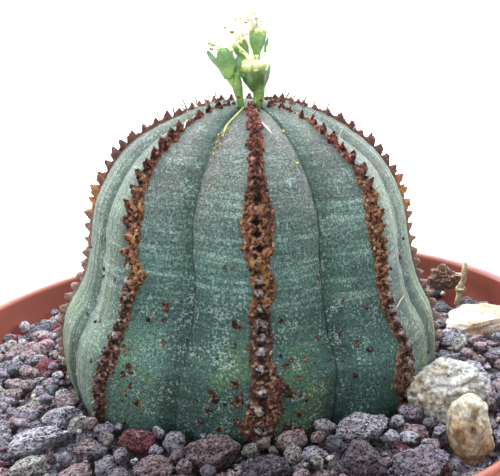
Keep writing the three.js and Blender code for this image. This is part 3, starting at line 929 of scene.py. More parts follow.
# The stones heaped in front, as the frame has them: size, turn in degrees, colour and depth of the bubbles
FRONT_STONES = [
    ((5, 4.6, 4.2), 0, PALE_MAUVE, 0.05),
    ((6.6, 5, 3.8), 10, GREENISH, 0.05),
    ((10.2, 5, 4.4), 20, PALE_MAUVE, 0.05),
    ((4.4, 4, 3.8), 0, GREENISH, 0.05),
    ((7.2, 5.6, 5.2), -30, PALE_MAUVE, 0.08),
    ((5.6, 4.4, 3.4), 0, PINK_BROWN, 0.06),
    ((5.8, 4.4, 3.4), 0, BROWN, 0.06),
    ((7.2, 4.4, 4), -28, RED, 0.06),
    ((6.8, 5, 4.2), -12, PINK_BROWN, 0.06),
    ((9.2, 6.2, 5.4), -8, PINK_BROWN, 0.04),
    ((8.4, 6.2, 6), 0, SHADOWED_DEEP_MAUVE, 0.03),
    ((5.4, 4, 3.8), 10, PALE_MAUVE, 0.06),
    ((7.6, 6.2, 6.8), 0, SHADOWED_DEEP_MAUVE, 0.02),
    ((9.8, 5.2, 5), 26, PALE_MAUVE, 0.11),
    ((8.6, 6.6, 6.2), 0, MAUVE, 0.03),
    ((5.4, 4.2, 3.8), 0, GREENISH, 0.05),
    ((5.6, 6, 5.4), 0, MAUVE, 0.08),
]


def lava_finish():
    """Dull lava: the stone's own tone, crystals, and bubbles of two sizes, painted near black as the shade
    inside them.
    """
    material, tree, shader = new_material("lava_gravel", 0.92, specular=0.2)
    place = object_place(tree)
    tone = attribute(tree, "tone", "Color")
    grain = cloud(tree, place, 1500.0, 6.0, 0.8)
    mottled = tinted(tree, tone, between(tree, grain, 0.33, 0.68, 0.3, 1.9))
    rusty = between(tree, cloud(tree, place, 260.0, 3.0), 0.5, 0.66, 0.0, 0.4)
    tint = blend_colour(tree, rusty, mottled, (0.2, 0.13, 0.12))
    crystals = specks(tree, place, 2300.0, 0.58, 0.3)
    sparked = covered(tree, crystals, 0.5, tint, (0.5, 0.48, 0.52))
    wobble = add_node(tree, "ShaderNodeTexNoise", [("Vector", place), ("Scale", 900.0)]).outputs[1]
    warped = blend_colour(tree, 0.0006, place, wobble)
    small = cells(tree, warped, 2300.0, "Distance")
    large = cells(tree, warped, 950.0, "Distance")
    small_pores = between(tree, small, 0.4, 0.2)
    large_pores = between(tree, large, 0.24, 0.12)
    pores = maths(tree, "MAXIMUM", times(tree, small_pores, 0.85), large_pores)
    # Painted shade: the bubbles are darkened for the shade inside them.
    pore_shaded = covered(tree, pores, 0.88, sparked, (0.012, 0.01, 0.012))
    height = maths(tree, "SUBTRACT", times(tree, grain, 0.7), pores)
    dress(tree, shader, pore_shaded, height, 1.0, 0.0006)
    return material


lava = lava_finish()


def new_toned_mesh():
    """A bmesh with a 'tone' colour on every vertex."""
    bm = bmesh.new()
    bm.verts.layers.float_vector.new("tone")
    return bm


def painted_shadow_and_light(tone, centre):
    """The tone of a stone at its place, with painted shadow in front of the plant and painted light on its
    left.
    """
    # Painted shadow: darker in front of the plant.
    share = 0.5 * bell(centre[0] + 4, 16) * smooth_step(-centre[1], 24, 32)
    # Painted light: paler on the left of the pot.
    dry = 0.2 * smooth_step(-centre[0], 20, 34)
    return Vector(tone) * (1 - share + dry)


def paint(bm, verts, colour):
    tone_layer = bm.verts.layers.float_vector["tone"]
    for vert in verts:
        vert[tone_layer] = colour


def rough_stone(bm, fineness, seed, lumps, pores, chips=6, pore_scale=4.2):
    """Adds a stone one unit in radius: a ball chipped flat, lumped by noise and pitted with burst bubbles."""
    picks = random.Random(seed)
    verts = bmesh.ops.create_icosphere(bm, subdivisions=fineness, radius=1)["verts"]
    start = Vector([picks.uniform(0, 90) for _ in range(3)])
    cuts = []
    for _ in range(chips):
        facing = Vector([picks.gauss(0, 1) for _ in range(3)]).normalized()
        cuts.append((facing, picks.uniform(0.55, 0.85)))
    for vert in verts:
        place = vert.co.copy()
        for facing, reach in cuts:
            over = place.dot(facing) - reach
            if over > 0:
                place -= 0.85 * over * facing
        lump = noise.noise(place * 1.6 + start) + 0.5 * noise.noise(place * 3.7 + start)
        lump += 0.3 * noise.noise(place * 8 + start)
        lump += 0.14 * noise.noise(place * 17 + start) if fineness > 4 else 0.0
        bubble = smooth_step(noise.voronoi(place * pore_scale + start)[0][0], 0.4, 0.1) if pores else 0.0
        vert.co = place * (1 + lumps * lump - pores * bubble)
    return verts


def set_stone(bm, verts, centre, half, turn, tilt=None):
    """Sizes a stone to its half sizes in mm, turns it about the vertical and moves it to its centre."""
    spans = [max(abs(vert.co[axis]) for vert in verts) for axis in range(3)]
    sizing = Matrix.Diagonal((half[0] / spans[0], half[1] / spans[1], half[2] / spans[2], 1))
    facing = Matrix.Rotation(turn, 4, "Z")
    if tilt:
        facing = facing @ Matrix.Rotation(tilt, 4, "Y")
    place = Matrix.Translation(Vector(centre) * MM) @ Matrix.Scale(MM, 4)
    bmesh.ops.transform(bm, matrix=place @ facing @ sizing, verts=verts)


def node_centre(node):
    """(centre, size) of a frame node in mm."""
    low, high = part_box(node)
    return (Vector(low) + Vector(high)) / (2 * MM), (Vector(high) - Vector(low)) / MM


STEM_FOOT = (2.6, 1)
BED_RADIUS = 56
BED_TOP = 87.2  # height of the stones' tops round the stem; they lie lower by BED_FALL at the pot's wall
BED_FALL = 2.2
HEAP = 3  # how much higher the stones lie in front of the stem
GROUND_DEPTH = 6.7  # mm from the stones' tops down to the ground they are poured on
BURIED_DEPTH = 6.5  # mm from the stones' tops down to the half-buried ones
BURIED_EDGE = 29  # mm from the stem's foot to the inner edge of the half-buried stones
CREST_REACH = 33.4  # mm from the stem's foot to its skin at a rib, at the height of the gravel
VALLEY_DEPTH = 2.4  # mm that the skin lies further in at a valley there
SETTLING = 0.22  # share of its half height by which a poured stone settles between the others
CELL = 0.8  # mm between the samples of the ground
ground = {}  # (column, row): height in mm of what lies there so far


def stone_tops(x, y):
    """Height in mm that the tops of the stones reach at a place in the pot."""
    radius = math.hypot(x, y)
    share = min(max((radius - 33) / 20, 0), 1)
    heap = HEAP * smooth_step(-y, 4, 20) * min(max((47 - radius) / 14, 0), 1)
    return BED_TOP - BED_FALL * share + heap


def from_stem(x, y):
    return math.hypot(x - STEM_FOOT[0], y - STEM_FOOT[1])


def ground_cells(x, y, half, turn):
    """The ground cells under a stone, each with how far it lies below the stone's middle, as a share."""
    reach = max(half[0], half[1])
    found = []
    for column in range(math.ceil((x - reach) / CELL), math.floor((x + reach) / CELL) + 1):
        for row in range(math.ceil((y - reach) / CELL), math.floor((y + reach) / CELL) + 1):
            dx = column * CELL - x
            dy = row * CELL - y
            along = (dx * math.cos(turn) + dy * math.sin(turn)) / half[0]
            aside = (dy * math.cos(turn) - dx * math.sin(turn)) / half[1]
            if along**2 + aside**2 < 1:
                found.append(((column, row), math.sqrt(1 - along**2 - aside**2)))
    return found


def lay_on_ground(centre, half, turn):
    for cell, share in ground_cells(centre[0], centre[1], half, turn):
        if cell in ground:
            ground[cell] = max(ground[cell], centre[2] + half[2] * share)


def model_lava_stones():
    """The stones of the frame, each a piece of its own."""
    names = sorted(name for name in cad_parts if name.startswith("lava_stone"))
    for index, name in enumerate(names):
        centre, size = node_centre(name)
        if index < len(FRONT_STONES):
            sizes, degrees, tone, pores = FRONT_STONES[index]
            half = [side / 2 * 0.97 for side in sizes]
            turn = math.radians(degrees)
        else:
            half = (0.85 * size.z, 0.64 * size.z, 0.5 * size.z)
            turn = math.atan2(centre.y, centre.x) + math.pi / 2
            tone = LAVA_TONES[index * 7 % len(LAVA_TONES)]
            pores = 0.06
        bm = new_toned_mesh()
        fineness = 6 if index < len(FRONT_STONES) and centre.y < -18 else 5  # finer where close to the camera
        verts = rough_stone(bm, fineness, 300 + index, pores=pores, lumps=0.17)
        set_stone(bm, verts, centre, half, turn)
        paint(bm, verts, painted_shadow_and_light(tone, centre))
        lay_on_ground(centre, half, turn)
        make_piece(f"lava_{name[-2:]}", bm, lava, [name])


reach = math.ceil(BED_RADIUS / CELL) + 1
for column in range(-reach, reach + 1):
    for row in range(-reach, reach + 1):
        if math.hypot(column, row) * CELL < BED_RADIUS + 0.5:
            ground[column, row] = stone_tops(column * CELL, row * CELL) - GROUND_DEPTH

model_lava_stones()


def model_buried_gravel():
    """The rough skin of half-buried stones that shows between the loose ones."""
    bm = new_toned_mesh()
    bmesh.ops.create_grid(bm, x_segments=200, y_segments=200, size=BED_RADIUS)
    away = []
    for vert in bm.verts:
        x, y = vert.co.x, vert.co.y
        if math.hypot(x, y) > BED_RADIUS or from_stem(x, y) < BURIED_EDGE:
            away.append(vert)
            continue
        distances, centres = noise.voronoi(Vector((x / 3.4, y / 3.4, 0)))
        seed = centres[0] * 9
        stone = math.sqrt(max(0.0, 1 - (distances[0] / 0.75) ** 2)) * (1.8 + 1.4 * noise.noise(seed))
        crumbs = 0.5 * lumps_at(x / 0.9, y / 0.9, 3)
        crumbs += 0.3 * lumps_at(x / 0.4, y / 0.4, 6)
        paint(bm, [vert], LAVA_TONES[int(abs(noise.cell(seed)) * 997) % len(LAVA_TONES)])
        vert.co.z = stone_tops(x, y) - BURIED_DEPTH + stone + crumbs
    bmesh.ops.delete(bm, geom=away, context="VERTS")
    bmesh.ops.scale(bm, vec=(MM, MM, MM), verts=bm.verts[:])
    make_piece("buried_gravel", bm, lava, ())


model_buried_gravel()


def stem_reach(x, y):
    """How far the stem reaches from its foot towards a place on the gravel, in mm."""
    angle = math.degrees(math.atan2(x - STEM_FOOT[0], STEM_FOOT[1] - y))
    share = rib_count_at(angle, -3) % 1
    return CREST_REACH - VALLEY_DEPTH * (1 - abs(2 * share - 1))


def pour_stones(picks, count, low, high, above, laid):
    """Drops stones of a range of half sizes in mm one by one, and keeps those that stay low enough."""
    for _ in range(count):
        angle = picks.uniform(-math.pi, math.pi)
        radius = picks.uniform(30, 55)
        x = 1.3 + radius * math.cos(angle)
        y = 0.5 + radius * math.sin(angle)
        long = picks.uniform(low, high)
        half = (long, long * picks.uniform(0.65, 0.95), long * picks.uniform(0.55, 0.8))
        turn = picks.uniform(0, math.pi)
        reach = 0.8 * long
        if math.hypot(x, y) + reach > BED_RADIUS - 0.4 or from_stem(x, y) - reach < stem_reach(x, y):
            continue
        cells = [(cell, share) for cell, share in ground_cells(x, y, half, turn) if cell in ground]
        if not cells:
            continue
        middle = max(ground[cell] + half[2] * share for cell, share in cells) - SETTLING * half[2]
        if middle + half[2] > stone_tops(x, y) + above:
            continue
        laid.append(((x, y, middle), half, turn))
        lay_on_ground((x, y, middle), half, turn)


def model_small_stones():
    """The poured stones in four pieces, one for each side of the plant."""
    for name in ("limestone_pebble", "ochre_pebble", "flat_beige_stone", "withered_flower_head"):
        centre, size = node_centre(name)
        lay_on_ground(centre, [0.47 * side for side in size], 0)
    picks = random.Random(17)
    laid = []
    pour_stones(picks, 1200, 3, 4, 0.3, laid)
    pour_stones(picks, 4000, 2.1, 3, 0.5, laid)
    pour_stones(picks, 9000, 1.3, 2.1, 0.5, laid)
    sides = [(name, new_toned_mesh()) for name in ("front", "right", "back", "left")]
    for index, (centre, half, turn) in enumerate(laid):
        quarter = round(math.degrees(math.atan2(centre[0], -centre[1])) / 90) % 4
        bm = sides[quarter][1]
        fineness = 4 if centre[1] < 10 and half[0] > 2 else 3
        verts = rough_stone(bm, fineness, 900 + index, lumps=0.2, pores=0.07 if fineness == 4 else 0.0)
        set_stone(bm, verts, centre, half, turn, picks.uniform(-0.35, 0.35))
        paint(bm, verts, painted_shadow_and_light(picks.choice(LAVA_TONES), centre))
    for side, bm in sides:
        make_piece(f"small_gravel_{side}", bm, lava, ())


model_small_stones()


def model_grit():
    """Crumbs of lava, 1 to 2 mm across, that lie in the gaps and on the stones."""
    picks = random.Random(23)
    laid = []
    pour_stones(picks, 5000, 0.5, 1.2, -0.4, laid)
    bm = new_toned_mesh()
    for index, (centre, half, turn) in enumerate(laid[:900]):
        verts = rough_stone(bm, 2, 2000 + index, chips=4, lumps=0.3, pores=0.0)
        set_stone(bm, verts, centre, half, turn, picks.uniform(-0.5, 0.5))
        paint(bm, verts, picks.choice(LAVA_TONES + [(0.6, 0.57, 0.5)]))
    make_piece("lava_grit", bm, lava, ())


model_grit()


# ---- Pale stones ----
# Three stones laid on the lava: a rough lump of limestone with crystals and rusty earth on it, a smooth waxy
# pebble of ochre colour that stands upright, and a flat beige stone.
def pale_stone_finish(name, stops, scale, sparkle, bump, roughness):
    """A stone whose colours follow clouds, over a fine grain, with white crystals."""
    material, tree, shader = new_material(name, roughness)
    place = object_place(tree)
    tone = attribute(tree, "tone", "Color")
    patches = colour_ramp(tree, cloud(tree, place, scale, 5.0, 0.65), stops)
    toned = tinted(tree, patches, tone)
    grain = cloud(tree, place, 1700.0, 6.0, 0.78)
    grained = tinted(tree, toned, between(tree, grain, 0.33, 0.66, 0.6, 1.35))
    crystals = specks(tree, place, 1300.0, 0.56, 0.6)
    sparked = blend_colour(tree, times(tree, crystals, sparkle), grained, (0.85, 0.86, 0.86))
    cracks = specks(tree, place, 800.0, 0.63, 0.4)
    cracked = covered(tree, cracks, 0.5, sparked, (0.12, 0.09, 0.06))
    dress(tree, shader, cracked, grain, 0.9, bump)
    return material


def mixed(first, second, share):
    """The first colour with a share of the second one."""
    return Vector(first).lerp(Vector(second), share)


def model_limestone():
    centre = node_centre("limestone_pebble")[0]
    bm = new_toned_mesh()
    verts = rough_stone(bm, 6, 74, chips=0, lumps=0.12, pores=0.0)
    for vert in verts:
        place = vert.co.copy()
        layer = place.z * 3.4 + 0.9 * noise.noise(place * 1.5) + 0.6 * place.x
        ledge = 0.06 * (layer - math.floor(layer)) ** 2
        rough = 0.05 * noise.noise(place * 7) + 0.045 * noise.noise(place * 14)
        rough += 0.02 * noise.noise(place * 27)
        vert.co *= 1 - ledge + rough * (1 - 0.5 * smooth_step(place.z, 0.2, 0.8))
        vert.co.z = max(vert.co.z, -0.62 + 0.25 * rough)
        earth = smooth_step(place.z + 0.5 * noise.noise(place * 2.2), 0.1, 0.7)
        foot = smooth_step(place.z, -0.4, -0.9)
        brown = smooth_step(0.4 * place.z - place.x + 0.7 * noise.noise(place * 2.2), 0.35, 0.8)
        rust = max(earth * 0.45, brown, foot * 0.9)
        paint(bm, [vert], mixed((1.05, 1.06, 1.05), (0.84, 0.72, 0.55), rust))
    set_stone(bm, verts, centre, (6.4, 4.9, 5.7), math.radians(10), math.radians(-6))
    stops = [(0.36, (0.28, 0.26, 0.24)), (0.46, (0.52, 0.52, 0.52)), (0.6, (0.8, 0.81, 0.83))]
    material = pale_stone_finish("limestone", stops, 700.0, 0.8, 0.0007, 0.85)
    make_piece("limestone", bm, material, ["limestone_pebble"])


def model_ochre_pebble():
    centre = node_centre("ochre_pebble")[0]
    bm = new_toned_mesh()
    verts = rough_stone(bm, 6, 76, chips=2, lumps=0.12, pores=0.0)
    # Direction, width and depth of each hollow, in shares of the radius
    hollows = [((-0.05, -0.75, 0.72), 0.2, 0.13), ((-0.35, -0.9, 0.3), 0.13, 0.14)]
    hollows += [((-0.15, -0.98, 0.02), 0.24, 0.06)]
    hollows = [(Vector(facing).normalized(), width, depth) for facing, width, depth in hollows]
    for vert in verts:
        place = vert.co.copy()
        dent = sum(depth * bell((place.normalized() - at).length, width) for at, width, depth in hollows)
        vert.co *= 1 - dent + 0.015 * noise.noise(place * 8)
        stain = noise.noise(place * 1.6 + Vector((4, 2, 7))) - 0.5 * place.z - 0.3 * place.x
        honey = smooth_step(stain, -0.1, 0.6)
        cream = smooth_step(place.x + 0.6 * noise.noise(place * 2.4), 0.2, 0.7)
        tone = mixed((1, 0.98, 0.9), (0.8, 0.6, 0.4), honey)
        tone = mixed(tone, (1.1, 1.08, 1.04), cream * 0.7)
        # Painted shade: the tone darkens in the hollows.
        paint(bm, [vert], tone * (1 - min(0.6, 4 * dent)))
    set_stone(bm, verts, centre, (3.5, 3.2, 5.4), math.radians(20), math.radians(-6))
    stops = [(0.38, (0.36, 0.27, 0.17)), (0.5, (0.65, 0.57, 0.42)), (0.62, (0.84, 0.8, 0.66))]
    material = pale_stone_finish("ochre_pebble", stops, 420.0, 0.35, 0.0003, 0.5)
    make_piece("ochre_stone", bm, material, ["ochre_pebble"])


def model_beige_stone():
    centre = node_centre("flat_beige_stone")[0]
    bm = new_toned_mesh()
    verts = rough_stone(bm, 5, 83, chips=7, lumps=0.14, pores=0.0)
    paint(bm, verts, (1, 1, 1))
    set_stone(bm, verts, centre, (7.5, 4.6, 2), math.radians(8))
    bmesh.ops.rotate(bm, verts=verts, cent=centre * MM, matrix=Matrix.Rotation(math.radians(14), 3, "X"))
    stops = [(0.36, (0.5, 0.27, 0.14)), (0.46, (0.66, 0.52, 0.38)), (0.58, (0.74, 0.68, 0.6))]
    material = pale_stone_finish("beige_stone", stops, 190.0, 0.3, 0.0004, 0.75)
    make_piece("beige_stone", bm, material, ["flat_beige_stone"])


model_limestone()
model_ochre_pebble()
model_beige_stone()


# ---- Withered flower head and its stalk ----
# An old flower head that dried out and dropped on the gravel: a clump of shrivelled, papery, pinkish-brown
# scales round a hard core, with a thin, bent, straw-coloured stalk beside it.
def dry_finish():
    material, tree, shader = new_material("dry_plant", 0.85)
    place = object_place(tree)
    tone = attribute(tree, "tone", "Color")
    creases = cloud(tree, place, 900.0, 6.0, 0.75)
    base = tinted(tree, tone, between(tree, creases, 0.34, 0.66, 0.4, 1.5))
    spots = specks(tree, place, 900.0, 0.62, 0.4)
    spotted = covered(tree, spots, 0.6, base, (0.08, 0.045, 0.035))
    dress(tree, shader, spotted, creases, 0.9, 0.0004)
    return material


dry = dry_finish()


def unique(items):
    """The different items of a sequence, in the order of the sequence."""
    return list(dict.fromkeys(items))


def scale_leaf(bm, matrix, width, length, hollow, bend, thickness, crumple, seed):
    """Adds a leaf that stands along Z, hollow on its -Y side and bent back at its tip. Returns its verts."""
    made = bmesh.ops.create_grid(bm, x_segments=12, y_segments=16, size=0.5)["verts"]
    for vert in made:
        share = vert.co.y + 0.5
        across = 2 * vert.co.x
        half = width / 2 * math.sin(math.pi * (0.05 + 0.91 * share**1.1)) ** 0.55
        folds = crumple * lumps_at(across * 2, share * 4, seed)
        back = -hollow * across**2 * math.sin(math.pi * min(1, share + 0.2)) + bend * share**2 + folds
        vert.co = Vector((across * half, back, share * length + 0.5 * folds))
    faces = unique(face for vert in made for face in vert.link_faces)
    shell = bmesh.ops.solidify(bm, geom=faces, thickness=thickness)["geom"]
    faces += [item for item in shell if isinstance(item, bmesh.types.BMFace)]
    verts = unique(vert for face in faces for vert in face.verts)
    bmesh.ops.transform(bm, matrix=matrix, verts=verts)
    return verts


def add_tube(bm, path, radii, sides):
    """Adds a closed tube through the points of a path, a ring at each. Returns its rings of verts."""
    rings = []
    for index, (point, radius) in enumerate(zip(path, radii)):
        before = Vector(path[max(index - 1, 0)])
        after = Vector(path[min(index + 1, len(path) - 1)])
        facing = (after - before).to_track_quat("Z", "Y").to_matrix().to_4x4()
        place = Matrix.Translation(Vector(point)) @ facing
        rings.append(bmesh.ops.create_circle(bm, segments=sides, radius=radius, matrix=place)["verts"])
    loops = [unique(edge for vert in ring for edge in vert.link_edges) for ring in rings]
    for first, second in zip(loops, loops[1:]):
        bmesh.ops.bridge_loops(bm, edges=first + second)
    bmesh.ops.contextual_create(bm, geom=loops[0])
    bmesh.ops.contextual_create(bm, geom=loops[-1])
    return rings


SPIRAL = 2.4  # radians between parts that grow in a spiral


def model_withered_head():
    """A lumpy core with scales set round it in a spiral, all squashed a little."""
    centre = node_centre("withered_flower_head")[0]
    picks = random.Random(5)
    bm = new_toned_mesh()
    core = rough_stone(bm, 5, 91, chips=3, lumps=0.35, pores=0.1, pore_scale=2.2)
    bmesh.ops.transform(bm, matrix=Matrix.Diagonal((3.3, 2.6, 2.4, 1)), verts=core)
    paint(bm, core, (0.24, 0.13, 0.1))
    for index in range(22):
        facing = Matrix.Rotation(index * SPIRAL, 4, "Z") @ Matrix.Rotation(picks.uniform(-1.3, 1.1), 4, "X")
        place = facing @ Matrix.Translation((0, 0.5, 1.2))
        width = picks.uniform(1.6, 2.6)
        length = picks.uniform(1.5, 2.6)
        leaf = scale_leaf(bm, place, width, length, 0.5, 0.9, 0.14, 0.6, index * 1.7)
        paint(bm, leaf, picks.choice([(0.5, 0.33, 0.25), (0.38, 0.22, 0.17), (0.6, 0.42, 0.32)]))
    face_outwards(bm)
    squash = Matrix.Diagonal((1.05, 0.9, 0.85, 1))
    place = Matrix.Translation(centre * MM) @ Matrix.Scale(MM, 4) @ squash
    bmesh.ops.transform(bm, matrix=place, verts=bm.verts[:])
    make_piece("withered_head", bm, dry, ["withered_flower_head"])


def model_dry_stalk():
    """A thin knotted stalk, with a rough knob where it broke off its plant."""
    path = [(44.9, 21, 84.8), (45.2, 21, 86.6), (45.5, 21.1, 88.2)]
    path += [(46.2, 21, 90), (46.3, 20.9, 91.8), (46.6, 21, 93.6)]
    bm = new_toned_mesh()
    add_tube(bm, path, [0.8, 0.6, 0.75, 0.5, 0.6, 0.35], 12)
    knob = rough_stone(bm, 4, 95, lumps=0.3, pores=0.0)
    set_stone(bm, knob, (0, 0, 0), (1.1, 1, 0.9), 0)
    bmesh.ops.transform(bm, matrix=Matrix.Scale(1 / MM, 4), verts=knob)
    bmesh.ops.translate(bm, vec=(45.5, 20.9, 88), verts=knob)
    face_outwards(bm)
    paint(bm, bm.verts, (0.62, 0.5, 0.33))
    bmesh.ops.scale(bm, vec=(MM, MM, MM), verts=bm.verts[:])
    make_piece("dried_stalk", bm, dry, ["dry_stalk"])


model_withered_head()
model_dry_stalk()


# ---- Flowers ----
# Small green cups on three short stalks that stand in the crown: fleshy, waxy and light green, with scars
# where bracts fell off. Ovate bracts stand beside them, and cream filaments with yellow pollen sacs rise from
# the cups. Sizes and places are in mm in the plant's own frame, its heights above the rim plane.
LIGHT_GREEN = (0.3, 0.49, 0.13)
GREEN = (0.22, 0.4, 0.14)
BLUE_GREEN = (0.22, 0.37, 0.2)
OLIVE = (0.1, 0.16, 0.03)
SCAR = (0.2, 0.075, 0.03)
CREAM = (0.9, 0.88, 0.6)
YELLOW = (0.66, 0.62, 0.16)
PEACH = (0.8, 0.5, 0.26)
POLLEN_BROWN = (0.3, 0.2, 0.03)


def flower_finish(name, roughness):
    """Fleshy plant tissue that lets a little light through, with soft mottling and fine grain."""
    material, tree, shader = new_material(name, roughness)
    place = object_place(tree)
    tone = attribute(tree, "tone", "Color")
    mottle = between(tree, cloud(tree, place, 600.0, 4.0, 0.6), 0.32, 0.68, 0.72, 1.25)
    base = tinted(tree, tone, mottle)
    flecks = specks(tree, place, 2400.0, 0.63, 0.3)
    flecked = covered(tree, flecks, 0.35, base, (0.6, 0.75, 0.5))
    set_inputs(shader, [("Subsurface Weight", 0.25), ("Subsurface Radius", (0.0006, 0.0008, 0.0003))])
    dress(tree, shader, flecked, cloud(tree, place, 1800.0, 4.0), 0.5, 0.0001)
    return material


flower_green = flower_finish("flower_green", 0.5)
stamen_cream = flower_finish("stamens", 0.65)


def make_flower_piece(name, bm, material, node):
    """Makes a piece of a bmesh that is in mm in the plant's own frame."""
    face_outwards(bm)
    bmesh.ops.transform(bm, matrix=stem_place @ Matrix.Scale(MM, 4), verts=bm.verts[:])
    make_piece(name, bm, material, [node] if node else [])


def soft_path(points, steps):
    """Points along a smooth curve through the given ones."""
    return [Vector(smooth_through(points, i / steps)) for i in range(steps + 1)]


# Branches of each stalk by side, as (x, y, z, radius) of points from the foot up
STALKS = {
    "left": [
        [(-1.4, -3, 41.6, 0.55), (-1.8, -3, 43.2, 0.62), (-2.2, -3, 45.2, 0.85), (-2.2, -3.1, 46.8, 0.5)],
        [(-2.3, -3.1, 45, 0.6), (-3.2, -3.1, 46.2, 0.62), (-4.2, -3.1, 47.9, 0.75)],
    ],
    "right": [
        [(1, -2.9, 41.2, 0.62), (1.3, -3, 42.4, 0.68), (1.4, -3, 43.6, 0.8), (1.15, -3, 44.7, 1.2)],
    ],
    "upper": [
        [(0.9, 1.6, 41.8, 0.5), (1, 1.3, 44.4, 0.48), (1, 0.8, 47.6, 0.55), (0.9, 0.6, 50, 0.8)],
        [(1, 0.9, 46.6, 0.4), (0.1, 0, 47.7, 0.45), (-0.8, -0.9, 49.2, 0.7)],
    ],
}

# Corky brown scars of fallen bracts, on the front of the stalks
SCARS = {"left": (-1.9, -3.55, 43.4), "right": (1.55, -3.6, 42.9)}


def add_branch(bm, points):
    """Adds a fleshy branch along a smooth curve, light green and darker at its foot."""
    steps = 24
    curve = [smooth_through(points, i / steps) for i in range(steps + 1)]
    rings = add_tube(bm, [Vector(point[:3]) for point in curve], [point[3] for point in curve], 20)
    for index, ring in enumerate(rings):
        paint(bm, ring, mixed(GREEN, LIGHT_GREEN, smooth_step(index / steps, 0, 0.4)))


def model_stalk(side):
    bm = new_toned_mesh()
    for points in STALKS[side]:
        add_branch(bm, points)
    if side in SCARS:
        scar = rough_stone(bm, 4, 33, lumps=0.2, pores=0.0)
        place = Matrix.Translation(SCARS[side]) @ Matrix.Diagonal((0.36, 0.162, 0.306, 1))
        bmesh.ops.transform(bm, matrix=place, verts=scar)
        paint(bm, scar, SCAR)
    make_flower_piece(f"stalk_{side}", bm, flower_green, f"flower_stalk_{side}")


for side in STALKS:
    model_stalk(side)

# Cups by side: foot, radius, height, lean to the left in degrees, colour of the body, glands round the mouth
CUPS = {
    "left": ((-4.2, -3, 47), 1.25, 3.6, 0, GREEN, 5),
    "centre": ((-0.7, -1, 48.8), 1.3, 3.2, 24, GREEN, 5),
    "upper": ((0.9, 0.6, 49.6), 1.45, 3.9, -3, GREEN, 5),
    "right": ((1.15, -3, 44.1), 2.35, 4.1, 8, OLIVE, 6),
}


def model_cup(side):
    """A goblet with a lobed lip, its hollow mouth, and the nectar glands that ring it."""
    foot, radius, height, lean, colour, glands = CUPS[side]
    outer = [(0, 0), (0.36, 0.02), (0.5, 0.12), (0.68, 0.3), (0.86, 0.52), (0.98, 0.74)]
    outer += [(0.99, 0.9), (0.9, 1)]
    inner = [(0.79, 0.98), (0.76, 0.88), (0.6, 0.78), (0.3, 0.74), (0, 0.73)]
    profile = [(radius * share, height * rise) for share, rise in outer + inner]
    bm = turned_shape(profile, 60)
    bmesh.ops.subdivide_edges(bm, edges=bm.edges[:], cuts=1, use_grid_fill=True)
    bm.verts.layers.float_vector.new("tone")
    for vert in bm.verts:
        angle = math.atan2(vert.co.y, vert.co.x)
        rise = vert.co.z / height
        lobe = math.cos(glands * angle)
        swell = 1 + 0.06 * lobe * smooth_step(rise, 0.1, 0.6) + 0.05 * noise.noise(vert.co * 1.3)
        vert.co.x *= swell
        vert.co.y *= swell
        vert.co.z += 0.28 * lobe * smooth_step(rise, 0.85, 1) * radius / 2
        lip = smooth_step(rise, 0.82, 0.98)
        body = mixed(colour, LIGHT_GREEN, 0.8 * lip)
        patch = smooth_step(noise.noise(vert.co * 0.9 + Vector((radius, 0, 2))), -0.05, 0.25)
        paint(bm, [vert], mixed(body, BLUE_GREEN, 0.7 * patch * (1 - lip)))
    for index in range(glands):
        angle = 2 * math.pi * index / glands
        pad = bmesh.ops.create_icosphere(bm, subdivisions=3, radius=1)["verts"]
        size = Matrix.Diagonal((0.3 * radius, 0.36 * radius, 0.14 * radius + 0.1, 1))
        out = Matrix.Rotation(angle, 4, "Z") @ Matrix.Translation((0.84 * radius, 0, height))
        bmesh.ops.transform(bm, matrix=out @ Matrix.Rotation(0.4, 4, "Y") @ size, verts=pad)
        paint(bm, pad, mixed(LIGHT_GREEN, YELLOW, 0.45))
    place = Matrix.Translation(foot) @ Matrix.Rotation(math.radians(-lean), 4, "Y")
    bmesh.ops.transform(bm, matrix=place, verts=bm.verts[:])
    make_flower_piece(f"cup_{side}", bm, flower_green, f"flower_cup_{side}")


for side in CUPS:
    model_cup(side)

# Bracts by node: foot, width, length, turn about the vertical, lean to the left and colour
BRACTS = {
    "bract_left_broad": ((-3.8, -4.3, 46.6), 3.1, 4.7, -14, 6, GREEN),
    "bract_left_narrow": ((-3.2, -3.5, 45.6), 1.4, 6.3, -40, 35, BLUE_GREEN),
    "bract_upright": ((-2.2, -3.6, 45.8), 1.5, 4.1, 8, -2, BLUE_GREEN),
    "bract_upper": ((2.5, 0, 50.3), 0.9, 2.2, 50, -3, GREEN),
}


def model_bract(node):
    foot, width, length, turn, lean, colour = BRACTS[node]
    bm = new_toned_mesh()
    facing = Matrix.Rotation(math.radians(-lean), 4, "Y") @ Matrix.Rotation(math.radians(turn), 4, "Z")
    place = Matrix.Translation(foot) @ facing
    leaf = scale_leaf(bm, place, width, length, -0.45 * width / 2, -0.25, 0.22, 0.12, width)
    for vert in leaf:
        rise = (vert.co.z - foot[2]) / length
        paint(bm, [vert], mixed(LIGHT_GREEN, colour, smooth_step(rise, 0.1, 0.7)))
    make_flower_piece(node.replace("bract", "scale_leaf"), bm, flower_green, node)


for node in BRACTS:
    model_bract(node)


